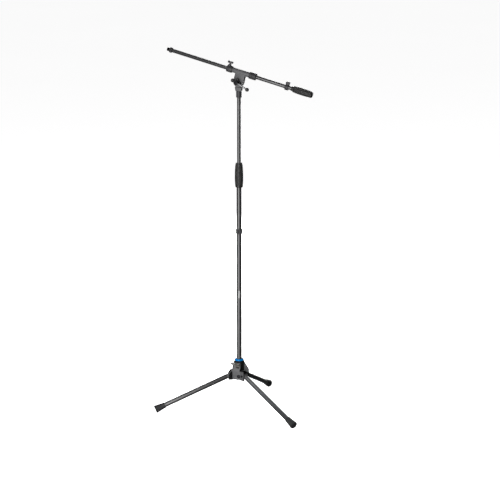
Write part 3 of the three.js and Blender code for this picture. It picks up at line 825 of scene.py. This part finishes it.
def build_hub():
    paint_shade_in_recesses(fit(refined("hub_casting", sizes().cast_edge, level=HUB_LEDGE - 2 * MM), "hub_casting"))
    fit(refined("hub_cover", 0.4 * MM), "hub_cover")
    low, high = COLUMN.span("trim_ring")
    outer, inner = COLUMN.outer("trim_ring"), COLUMN.inner("trim_ring")
    groove = 0.5 * MM
    waist = (low + high) / 2 - 1.2 * MM
    fit(turned("trim_ring", COLUMN, [
        (inner, low), (outer, low), (outer, waist), (outer - groove, waist + 0.3 * MM),
        (outer - groove, waist + 1.0 * MM), (outer, waist + 1.3 * MM), (outer, high - 1.7 * MM),
        (outer - 1.7 * MM, high), (inner, high),
    ], 0.5 * MM, sides=96), "trim_ring")
    for number in LEGS:
        node = f"cover_screw_{number}"
        axle = Axle(middle(node).xy.to_3d(), UP, (1, 0, 0))
        low, high = axle.span(node)
        head, shank = axle.outer(node), 1.5 * MM
        seat = low + 2 * MM
        fit(socket_screw(node, axle, [
            (0, low), (head, low), (head, seat), (shank, seat), (shank, high), (0, high),
        ], low, 1.4 * MM, 1.2 * MM, 1), node)
    node = "column_set_screw"
    place = middle(node)
    start = Vector((COLUMN_FOOT.x, COLUMN_FOOT.y, place.z))
    axle = Axle(start, place - start, UP)
    low, high = axle.span(node)
    head = axle.outer(node)
    seat = high - 6 * MM
    fit(socket_screw(node, axle, [
        (0, low), (4 * MM, low), (4 * MM, seat), (head, seat), (head, high), (0, high),
    ], high, 3.2 * MM, 3.5 * MM, -1), node)


def build_lever():
    fit(refined("release_lever", 0.7 * MM), "release_lever")
    low, high = LEVER.span("lever_pin")
    pin = LEVER.outer("lever_pin")
    fit(turned("lever_pin", LEVER, [(0, low), (pin, low), (pin, high), (0, high)], 0.3 * MM), "lever_pin")
    build_lever_spring()


def build_lever_spring():
    """A coil spring with closed end turns, in the space its frame node holds."""
    node = "lever_spring"
    centre = middle(node)
    axle = Axle((centre.x, centre.y, 0), UP, (1, 0, 0))
    low, high = axle.span(node)
    wire = 0.4 * MM
    radius = axle.outer(node) - wire
    turns, steps, sides = 7, 24, 8
    form = bmesh.new()
    rings = []
    for step in range(turns * steps + 1):
        share = step / (turns * steps)
        eased = max(0.0, min(1.0, (share * turns - 0.7) / (turns - 1.4)))
        angle = 2 * math.pi * share * turns
        height = low + wire * 1.1 + (high - low - wire * 2.2) * eased
        across = Vector((math.cos(angle), math.sin(angle), 0))
        centre_line = across * radius + UP * height
        rings.append([
            form.verts.new(centre_line + wire * (
                across * math.cos(2 * math.pi * side / sides) + UP * math.sin(2 * math.pi * side / sides)
            ))
            for side in range(sides)
        ])
    for ring, following in zip(rings, rings[1:]):
        for side in range(sides):
            after = (side + 1) % sides
            form.faces.new((ring[side], ring[after], following[after], following[side]))
    form.faces.new(rings[0])
    form.faces.new(rings[-1])
    fit(placed(node, mesh_from(node, form), axle.matrix()), node)


def build_legs():
    for number in LEGS:
        fit(refined(f"leg_knuckle_{number}", 0.8 * MM), f"leg_knuckle_{number}")
        build_foot(number)
        build_leg_bolt(number)


def build_foot(number):
    """A conical rubber boot with two grip grooves and a slightly domed sole."""
    node = f"rubber_foot_{number}"
    axle = leg_axle(number)
    low, high = axle.span(node)
    bore = axle.inner(node, high=low + MM)
    neck = axle.outer(node, high=low + MM)
    tip = axle.outer(node)
    edge = 2.5 * MM
    shoulder = high - edge

    def wall(place):
        return neck + (tip - neck) * (place - low) / (shoulder - low)
    outline = [
        (0, high - 8 * MM), (bore, high - 8 * MM), (bore, low), (neck, low),
        (neck + 0.6 * MM, low + 0.4 * MM),
    ]
    outline += [(wall(low + 4 * MM) + 0.5 * MM, low + 3.4 * MM), (wall(low + 4.5 * MM), low + 4.2 * MM)]
    for groove in (high - 12 * MM, high - 7.5 * MM):
        outline += [(wall(groove), groove), (wall(groove) - 0.9 * MM, groove + 0.5 * MM)]
        outline += [
            (wall(groove) - 0.9 * MM, groove + 1.3 * MM), (wall(groove + 1.8 * MM), groove + 1.8 * MM),
        ]
    outline += [(tip, shoulder)]
    outline += [(tip - edge + x, y + shoulder) for x, y in arc((0, 0), edge, 12, 84, 6)]
    outline += [
        (tip * 0.72, high - 0.1 * MM), (tip * 0.66, high - 0.7 * MM), (tip * 0.60, high - 0.1 * MM),
        (0, high),
    ]
    fit(turned(node, axle, outline, 0.25 * MM, sides=72), node)


def build_leg_bolt(number):
    node, nut_node = f"leg_bolt_{number}", f"leg_nut_{number}"
    axle = bolt_axle(number)
    low, high = axle.span(node)
    nut_low, nut_high = axle.span(nut_node)
    head = axle.outer(node)
    shank = 3 * MM
    seat = low + 3.5 * MM
    fit(socket_screw(node, axle, [
        (0, low), (head - 0.8 * MM, low), (head, low + 0.9 * MM), (head, seat), (shank, seat),
        (shank, high), (0, high),
    ], low, 2.4 * MM, 2.2 * MM, 1), node)
    fit(nut(nut_node, axle, axle.outer(nut_node), shank + 0.25 * MM, nut_low, nut_high), nut_node)


def build_clutch():
    for node in ("clutch_body", "clutch_collet"):
        fit(refined(node, 0.3 * MM, 2), node)
    grip_low, grip_high = COLUMN.span("clutch_grip")
    low, high = COLUMN.span("clutch_sleeve")
    rim = COLUMN.outer("clutch_sleeve")
    sleeve = COLUMN.inner("clutch_grip") - 0.3 * MM
    neck = COLUMN.inner("clutch_sleeve")
    bore = COLUMN.inner("clutch_sleeve", high=low + MM)
    fit(turned("clutch_sleeve", COLUMN, [
        (bore, low), (sleeve, low), (sleeve, grip_high + 0.3 * MM), (rim, grip_high + 0.3 * MM),
        (rim, high - 1.2 * MM), (rim - 1.2 * MM, high), (neck, high), (neck, high - 4 * MM),
        (bore, COLUMN.span("clutch_collet")[0]),
    ], 0.6 * MM, sides=72), "clutch_sleeve")
    build_grip("clutch_grip", COLUMN, grip_low, grip_high, COLUMN.inner("clutch_grip"), 12)


def build_grip(node, axle, low, high, inner, count):
    """A barrel-shaped rubber grip: diamond pads between crossed grooves, with plain rounded ends."""
    relief, pitch = sizes().grip_relief, sizes().grip_pitch
    widest = axle.outer(node, low, high)
    end = axle.outer(node, high=low + MM)
    span = high - low

    def radius(place, around):
        share = (place - low) / span
        margin = min(place - low, high - place)
        plain = max(0.0, min(1.0, (margin - 4.5 * MM) / (2.5 * MM)))
        roll = max(0.0, 2.6 * MM - margin) / (2.6 * MM)
        pads = relief * plain * (lozenge(place - low, around, pitch, count) - 1)
        return barrel(share, end, widest - end) + pads - 1.5 * MM * roll ** 2.5
    fit(sculpted(node, axle, radius, low, high, inner, 190, 288), node, 60)


def build_clips():
    for node in ("column_clip", "boom_clip"):
        fit(refined(node, 0.7 * MM), node)


def build_head():
    fit(refined("tilt_yoke", sizes().cast_edge), "tilt_yoke")
    low, high = COLUMN.span("socket_ring")
    outer, inner = COLUMN.outer("socket_ring"), COLUMN.inner("socket_ring")
    fit(turned("socket_ring", COLUMN, [
        (inner, low), (outer - 1.5 * MM, low), (outer, low + 1.5 * MM), (outer, low + 6 * MM),
        (outer - 0.5 * MM, low + 6.4 * MM), (outer - 0.5 * MM, low + 7.2 * MM), (outer, low + 7.6 * MM),
        (outer, high), (inner, high),
    ], 0.4 * MM, sides=72), "socket_ring")


def build_bracket():
    fit(refined("boom_bracket", sizes().cast_edge), "boom_bracket")
    for node in ("front_collar", "sleeve_bush_front"):
        fit(refined(node, 0.4 * MM), node)
    low, high = BOOM.span("rear_collar")
    outer, bore = BOOM.outer("rear_collar"), BOOM.inner("rear_collar")
    pocket = BOOM.inner("rear_collar", high=low + MM)
    wall = high - 10 * MM
    rib = 1.6 * MM
    fit(turned("rear_collar", BOOM, [
        (pocket, low), (outer - 1.5 * MM, low), (outer, low + 4 * MM), (outer, low + 12 * MM),
        (outer - 0.6 * MM, low + 12.4 * MM), (outer - 0.6 * MM, low + 12.4 * MM + rib),
        (outer, low + 12.8 * MM + rib),
        (outer, high - 1.5 * MM), (outer - 1.5 * MM, high), (bore, high), (bore, wall), (pocket, wall),
    ], 0.5 * MM, sides=72), "rear_collar")
    rings = (("sleeve_bush_rear", BOOM), ("friction_washer_front", TILT), ("friction_washer_rear", TILT))
    for node, axle in rings:
        low, high = axle.span(node)
        fit(turned(node, axle, tube_outline(axle.outer(node), axle.inner(node), low, high), 0.2 * MM), node)


def build_clamps():
    for node in ("spindle_washer_front", "spindle_washer_rear"):
        low, high = SPINDLE.span(node)
        outline = tube_outline(SPINDLE.outer(node), SPINDLE.inner(node), low, high)
        fit(turned(node, SPINDLE, outline, 0.3 * MM), node)
    low, high = SPINDLE.span("spindle_nut")
    fit(nut("spindle_nut", SPINDLE, SPINDLE.outer("spindle_nut"), 4.25 * MM, low, high), "spindle_nut")
    build_spindle()
    build_tilt_knob()
    build_t_bar()
    build_wing_screw()


def build_spindle():
    """The clamping screw: a turned head cross-drilled for the bar, and a shank through the bracket."""
    node = "clamp_spindle"
    low, high = SPINDLE.span(node)
    head = SPINDLE.outer(node)
    shank = SPINDLE.outer(node, low=high - MM)
    inner_face = low + 17 * MM
    body = turned(node, SPINDLE, [
        (0, low), (head - 1.6 * MM, low), (head, low + 1.6 * MM), (head, inner_face - 0.8 * MM),
        (head - 0.8 * MM, inner_face), (shank, inner_face), (shank, high), (0, high),
    ], 0.5 * MM, sides=72)
    hole = drum(T_BAR, T_BAR.outer("tommy_bar") + 0.3 * MM, -20 * MM, 20 * MM)
    combine(body, [hole], "DIFFERENCE")
    fit(softened(body, 0.35 * MM, 2), node)


def build_tilt_knob():
    """A three-lobed plastic knob with softly rounded faces and a raised hub."""
    node = "tilt_knob"
    low, high = SPINDLE.span(node)
    corners = SPINDLE.corners(node)
    reach = SPINDLE.outer(node)
    waist = min(corner.xy.length for corner in corners if corner.xy.length > reach * 0.4)
    middle_radius, lobe = (reach + waist) / 2, (reach - waist) / 2
    tip = max(corners, key=lambda corner: corner.xy.length)
    lead = math.atan2(tip.y, tip.x)
    sides, rows = 96, 26
    span = high - low
    corner_radius = 3.2 * MM

    def radius(place, around):
        margin = min(place - low, high - place)
        roll = max(0.0, 1 - margin / corner_radius)
        shrink = corner_radius * (1 - math.sqrt(max(0.0, 1 - roll * roll)))
        return middle_radius + lobe * math.cos(3 * (around - lead)) - shrink
    body = sculpted(node, SPINDLE, radius, low, high, 0, rows, sides)
    dish = turned("dish", SPINDLE, [
        (6.5 * MM, low - MM), (10.2 * MM, low - MM), (9.0 * MM, low + span * 0.12),
        (7.0 * MM, low + span * 0.12),
    ], 0.4 * MM)
    bore = drum(SPINDLE, 4.3 * MM, low - MM, high + MM)
    combine(body, [dish, bore], "DIFFERENCE")
    fit(body, node, 30)


def build_t_bar():
    node = "tommy_bar"
    low, high = T_BAR.span(node)
    radius = T_BAR.outer(node)
    fit(turned(node, T_BAR, [(0, low), (radius, low), (radius, high), (0, high)], 0.4 * MM, sides=48), node)
    for ball, bar_side in (("bar_ball_left", 1), ("bar_ball_right", -1)):
        build_ball(ball, bar_side, radius)


def build_ball(node, bar_side, bar_radius):
    """A moulded ball with a short flat collar where the bar goes in."""
    low, high = T_BAR.span(node)
    radius = T_BAR.outer(node)
    centre = low + radius if bar_side > 0 else high - radius
    flat = radius * 0.88
    ball_arc = [(r, z) for r, z in arc((0, 0), radius, -90, math.degrees(math.asin(0.88)), 30)]
    outline = [(max(0.0, r), z) for r, z in ball_arc]
    outline += [(bar_radius + 0.3 * MM, flat), (bar_radius + 0.3 * MM, -2.3 * MM), (0, -2.3 * MM)]
    if bar_side > 0:
        axle = T_BAR.moved(centre)
    else:
        axle = Axle(T_BAR.origin + T_BAR.along * centre, -T_BAR.along, T_BAR.across)
    fit(turned(node, axle, outline, 0.25 * MM, sides=64), node)


def build_wing_screw():
    """The boom's clamping screw: two wings on a round boss."""
    node = "wing_screw"
    low, high = WING.span(node)
    shank, lobe = 3 * MM, 5.2 * MM
    foot, neck = high - 15 * MM, high - 11 * MM
    half = max(corner.x for corner in WING.corners(node))
    centre = (neck + high) / 2
    wing = [(0, neck + 2.4 * MM)]
    wing += arc((half - lobe, centre), lobe, -125, 125, 20)
    wing += [(0, high - 2.6 * MM)]
    wing += arc((-half + lobe, centre), lobe, 55, 305, 20)
    upright = Matrix((WING.across, WING.along, -WING.third)).transposed().to_4x4()
    upright.translation = WING.origin
    body = turned(node, WING, [
        (0, low), (shank, low), (shank, foot), (4.5 * MM, foot), (3.9 * MM, neck), (4.4 * MM, centre),
        (4.2 * MM, high - 2.4 * MM), (3.2 * MM, high - 1.2 * MM), (0, high - 1.2 * MM),
    ], 0.6 * MM)
    plate = prism("wings", upright, wing, -2.5 * MM, 2.5 * MM)
    combine(body, [softened(plate, 0.9 * MM)], "UNION")
    fit(softened(body, 0.3 * MM, 2), node)
    low, high = WING.span("brake_pad")
    radius = WING.outer("brake_pad")
    pad = turned("brake_pad", WING, [(0, low), (radius, low), (radius, high), (0, high)], 0.2 * MM)
    fit(pad, "brake_pad")


def build_boom():
    node = "boom_stud"
    low, high = BOOM.span(node)
    rod_low, rod_high = BOOM.span("boom_rod")
    shoulder = rod_low - 0.3 * MM
    radius = BOOM.outer(node)
    pitch, depth = sizes().thread_pitch, sizes().thread_depth
    plug = BOOM.inner("boom_rod") - 0.3 * MM
    stud = threaded(node, BOOM, radius, low, shoulder, pitch, depth)
    tail = turned("tail", BOOM, [
        (0, shoulder - 2 * MM), (plug, shoulder - 2 * MM), (plug, high), (0, high),
    ], 0.3 * MM)
    fit(combine(stud, [tail], "UNION"), node)
    build_lock_ring()
    grip = "boom_grip"
    low, high = BOOM.span(grip)
    neck = BOOM.outer(grip, high=low + MM)
    start = BOOM.span("boom_grip")[0] + 9.7 * MM
    bore = BOOM.inner(grip, high=low + MM)
    build_boom_grip(grip, low, start, high, neck, bore, rod_high)


def build_boom_grip(node, low, start, high, neck, bore, rod_end):
    """The rear grip: a plain neck, diamond pads and a domed end."""
    relief, pitch = sizes().grip_relief, sizes().grip_pitch
    widest = BOOM.outer(node)
    end = BOOM.outer(node, low=high - MM)
    dome = 5 * MM

    def radius(place, around):
        if place < start:
            flare = max(0.0, 1 - (start - place) / (2.2 * MM))
            return neck + (barrel(0, end, widest - end) - neck) * flare ** 2
        share = (place - start) / (high - start)
        plain = max(0.0, min(1.0, (min(place - start, high - dome - place)) / (3 * MM)))
        roll = max(0.0, 1 - (high - place) / dome)
        shrink = dome * (1 - math.sqrt(max(0.0, 1 - roll * roll)))
        pads = relief * plain * (lozenge(place - start, around, pitch, 14) - 1)
        return barrel(share, end, widest - end) + pads - shrink
    body = sculpted(node, BOOM, radius, low, high, 0, 210, 240)
    pocket = drum(BOOM, bore, low - MM, rod_end + 0.3 * MM)
    fit(combine(body, [pocket], "DIFFERENCE"), node, 60)


def build_lock_ring():
    """The lock ring behind the microphone thread, with coarse straight knurling."""
    node = "stud_ring"
    low, high = BOOM.span(node)
    outer, inner = BOOM.outer(node), BOOM.inner(node)
    ribs = 30

    def radius(place, around):
        margin = min(place - low, high - place)
        plain = max(0.0, min(1.0, (margin - 1.2 * MM) / (0.6 * MM)))
        chamfer = max(0.0, 0.9 * MM - margin)
        rib = 0.5 + 0.5 * math.cos(ribs * around)
        return outer - chamfer - 0.55 * MM * plain * (1 - rib)
    fit(sculpted(node, BOOM, radius, low, high, inner, 24, 240), node)


def build_column_fittings():
    """The thread on top of the column and the guide inside it."""
    node = "column_stud"
    low, high = COLUMN.span(node)
    tube_top = COLUMN.span("upper_tube")[1]
    seat = tube_top + 1.5 * MM
    plug = COLUMN.inner("upper_tube") - 0.3 * MM
    stud = threaded(node, COLUMN, COLUMN.inner("tilt_yoke") - 0.35 * MM, seat - 0.5 * MM, high,
                    sizes().thread_pitch, sizes().thread_depth)
    flange = turned("flange", COLUMN, [
        (0, low), (plug, low), (plug, tube_top + 0.3 * MM), (COLUMN.outer(node), tube_top + 0.3 * MM),
        (COLUMN.outer(node), seat), (0, seat),
    ], 0.2 * MM)
    fit(combine(stud, [flange], "UNION"), node)
    low, high = COLUMN.span("slide_guide")
    outer = COLUMN.outer("slide_guide")
    fit(turned("slide_guide", COLUMN, [
        (0, low), (outer, low), (outer, low + 4 * MM), (plug, low + 4 * MM), (plug, high), (0, high),
    ], 0.4 * MM), "slide_guide")


# Stage

def build_camera():
    view = bpy.context.scene.stand_camera
    ahead = Vector((-math.sin(view.azimuth), math.cos(view.azimuth), 0))
    right = Vector((math.cos(view.azimuth), math.sin(view.azimuth), 0))
    place = COLUMN_FOOT - ahead * view.distance + right * view.sideways + UP * view.height
    gaze = ahead * math.cos(view.pitch) - UP * math.sin(view.pitch)
    camera = bpy.data.objects.new("camera", bpy.data.cameras.new("camera"))
    camera.data.lens = view.lens
    camera.data.sensor_width = 36
    camera.data.clip_end = 200
    camera.location = place
    camera.rotation_mode = "QUATERNION"
    camera.rotation_quaternion = gaze.to_track_quat("-Z", "Y")
    bpy.context.scene.collection.objects.link(camera)
    bpy.context.scene.camera = camera


def build_floor():
    """A plain pale floor that runs past the view."""
    form = bmesh.new()
    reach = 60
    corners = ((-reach, -reach), (reach, -reach), (reach, reach), (-reach, reach))
    form.faces.new([form.verts.new((x, y, 0)) for x, y in corners])
    floor = placed("floor", mesh_from("floor", form), Matrix.Translation((0, 0, -0.2 * MM)))
    finish = Finish("floor_paper")
    cloud = finish.noise(0.6, 2)
    finish.surface(
        Base_Color=finish.blend(cloud, (0.88, 0.88, 0.88, 1), (0.92, 0.92, 0.92, 1)),
        Roughness=cloud * 0.05 + 0.9, Specular_IOR_Level=0.1,
        Emission_Color=(1, 1, 1, 1), Emission_Strength=0.7,
    )
    floor.data.materials.append(finish.material)
    floor.visible_diffuse = False
    floor.visible_glossy = False
    floor.visible_shadow = False


# Strengths of the dim glow round the stand and of the white behind it
ROOM_GLOW = 0.06
BACKDROP_WHITE = 1.05
SKY_POWER = 0.7
SKY_SPREAD = math.radians(60)


def add_softbox(name, azimuth, elevation, distance, size, power, height=0.8):
    """A rectangular light that faces the column at a height."""
    centre = Vector((COLUMN_FOOT.x, COLUMN_FOOT.y, height))
    turn, rise = math.radians(azimuth), math.radians(elevation)
    back = Vector((math.sin(turn) * math.cos(rise), -math.cos(turn) * math.cos(rise), math.sin(rise)))
    lamp = bpy.data.lights.new(name, "AREA")
    lamp.shape = "RECTANGLE"
    lamp.size, lamp.size_y = size
    lamp.energy = power
    light = bpy.data.objects.new(name, lamp)
    light.location = centre + back * distance
    light.rotation_mode = "QUATERNION"
    light.rotation_quaternion = (-back).to_track_quat("-Z", "Y")
    bpy.context.scene.collection.objects.link(light)


def build_backdrop():
    """White behind the stand, and only a dim glow around it."""
    world = bpy.data.worlds.new("studio")
    world.use_nodes = True
    nodes, links = world.node_tree.nodes, world.node_tree.links
    glow = nodes["Background"]
    glow.inputs["Color"].default_value = (1, 1, 1, 1)
    glow.inputs["Strength"].default_value = ROOM_GLOW
    backdrop = nodes.new("ShaderNodeBackground")
    backdrop.inputs["Color"].default_value = (1, 1, 1, 1)
    backdrop.inputs["Strength"].default_value = BACKDROP_WHITE
    mix = nodes.new("ShaderNodeMixShader")
    links.new(nodes.new("ShaderNodeLightPath").outputs["Is Camera Ray"], mix.inputs["Fac"])
    links.new(glow.outputs[0], mix.inputs[1])
    links.new(backdrop.outputs[0], mix.inputs[2])
    links.new(mix.outputs[0], nodes["World Output"].inputs["Surface"])
    bpy.context.scene.world = world
    bpy.context.scene.view_settings.view_transform = "Standard"


def build_lights():
    add_softbox(
        "key", azimuth=2, elevation=0, distance=3.8, size=(2.4, 5.0), power=740, height=0.5,
    )
    add_softbox(
        "left", azimuth=-65, elevation=35, distance=3.5, size=(0.9, 1.6), power=120, height=0.4,
    )
    add_softbox(
        "rear", azimuth=186, elevation=12, distance=4.0, size=(1.8, 3.0), power=230, height=0.8,
    )
    add_softbox("side", azimuth=80, elevation=15, distance=4.5, size=(0.8, 2.4), power=14)
    sun = bpy.data.lights.new("sky", "SUN")
    sun.energy = SKY_POWER
    sun.angle = SKY_SPREAD
    light = bpy.data.objects.new("sky", sun)
    bpy.context.scene.collection.objects.link(light)


# Operators

class STAND_OT_stage(bpy.types.Operator):
    """Add the camera, the floor and the studio lights"""
    bl_idname = "stand.stage"
    bl_label = "Stage"
    bl_options = {"REGISTER", "UNDO"}

    def execute(self, context):
        build_camera()
        build_floor()
        build_backdrop()
        build_lights()
        return {"FINISHED"}


class STAND_OT_tubes(bpy.types.Operator):
    """Make the column, boom and leg tubes and the plain mark"""
    bl_idname = "stand.tubes"
    bl_label = "Tubes"
    bl_options = {"REGISTER", "UNDO"}

    def execute(self, context):
        build_tubes()
        build_mark()
        return {"FINISHED"}


class STAND_OT_hub(bpy.types.Operator):
    """Make the hub casting, its cover, ring and screws"""
    bl_idname = "stand.hub"
    bl_label = "Hub"
    bl_options = {"REGISTER", "UNDO"}

    def execute(self, context):
        build_hub()
        return {"FINISHED"}


class STAND_OT_lever(bpy.types.Operator):
    """Make the release lever, its pin and its spring"""
    bl_idname = "stand.lever"
    bl_label = "Release Lever"
    bl_options = {"REGISTER", "UNDO"}

    def execute(self, context):
        build_lever()
        return {"FINISHED"}


class STAND_OT_legs(bpy.types.Operator):
    """Make the leg knuckles, hinge bolts and rubber feet"""
    bl_idname = "stand.legs"
    bl_label = "Legs"
    bl_options = {"REGISTER", "UNDO"}

    def execute(self, context):
        build_legs()
        return {"FINISHED"}


class STAND_OT_clutch(bpy.types.Operator):
    """Make the height clutch and its textured grip"""
    bl_idname = "stand.clutch"
    bl_label = "Height Clutch"
    bl_options = {"REGISTER", "UNDO"}

    def execute(self, context):
        build_clutch()
        return {"FINISHED"}


class STAND_OT_clips(bpy.types.Operator):
    """Make the two cable clips"""
    bl_idname = "stand.clips"
    bl_label = "Cable Clips"
    bl_options = {"REGISTER", "UNDO"}

    def execute(self, context):
        build_clips()
        return {"FINISHED"}


class STAND_OT_fittings(bpy.types.Operator):
    """Make the column's thread and slide guide"""
    bl_idname = "stand.fittings"
    bl_label = "Column Fittings"
    bl_options = {"REGISTER", "UNDO"}

    def execute(self, context):
        build_column_fittings()
        return {"FINISHED"}


class STAND_OT_head(bpy.types.Operator):
    """Make the tilt yoke and its socket ring"""
    bl_idname = "stand.head"
    bl_label = "Tilt Head"
    bl_options = {"REGISTER", "UNDO"}

    def execute(self, context):
        build_head()
        return {"FINISHED"}


class STAND_OT_bracket(bpy.types.Operator):
    """Make the boom bracket, its collars, bushes and washers"""
    bl_idname = "stand.bracket"
    bl_label = "Boom Bracket"
    bl_options = {"REGISTER", "UNDO"}

    def execute(self, context):
        build_bracket()
        return {"FINISHED"}


class STAND_OT_clamps(bpy.types.Operator):
    """Make the clamping screws, knob and T-bar"""
    bl_idname = "stand.clamps"
    bl_label = "Clamps"
    bl_options = {"REGISTER", "UNDO"}

    def execute(self, context):
        build_clamps()
        return {"FINISHED"}


class STAND_OT_boom(bpy.types.Operator):
    """Make the microphone thread, lock ring and rear grip"""
    bl_idname = "stand.boom"
    bl_label = "Boom"
    bl_options = {"REGISTER", "UNDO"}

    def execute(self, context):
        build_boom()
        return {"FINISHED"}


OPERATORS = (
    STAND_OT_stage, STAND_OT_tubes, STAND_OT_hub, STAND_OT_lever, STAND_OT_legs, STAND_OT_clutch,
    STAND_OT_clips, STAND_OT_fittings, STAND_OT_head, STAND_OT_bracket, STAND_OT_clamps, STAND_OT_boom,
)


class STAND_PT_sidebar(bpy.types.Panel):
    """Lists the stand's pieces and settings"""
    bl_idname = "STAND_PT_sidebar"
    bl_label = "Boom Microphone Stand"
    bl_space_type = "VIEW_3D"
    bl_region_type = "UI"
    bl_category = "Stand"

    def draw(self, context):
        for operator in OPERATORS:
            self.layout.operator(operator.bl_idname)
        for group in (context.scene.stand_sizes, context.scene.stand_colours, context.scene.stand_camera):
            section = self.layout.box()
            for name in group.__annotations__:
                section.prop(group, name)


GROUPS = {"stand_sizes": StandSizes, "stand_colours": StandColours, "stand_camera": StandCamera}


def register():
    for group in GROUPS.values():
        bpy.utils.register_class(group)
    for name, group in GROUPS.items():
        setattr(bpy.types.Scene, name, bpy.props.PointerProperty(type=group))
    for operator in OPERATORS:
        bpy.utils.register_class(operator)
    bpy.utils.register_class(STAND_PT_sidebar)


def unregister():
    bpy.utils.unregister_class(STAND_PT_sidebar)
    for operator in reversed(OPERATORS):
        bpy.utils.unregister_class(operator)
    for name in GROUPS:
        delattr(bpy.types.Scene, name)
    for group in GROUPS.values():
        bpy.utils.unregister_class(group)


def main():
    register()
    for operator in OPERATORS:
        getattr(bpy.ops.stand, operator.bl_idname.split(".")[1])()
    bpy.context.view_layer.update()


if __name__ == "__main__":
    main()
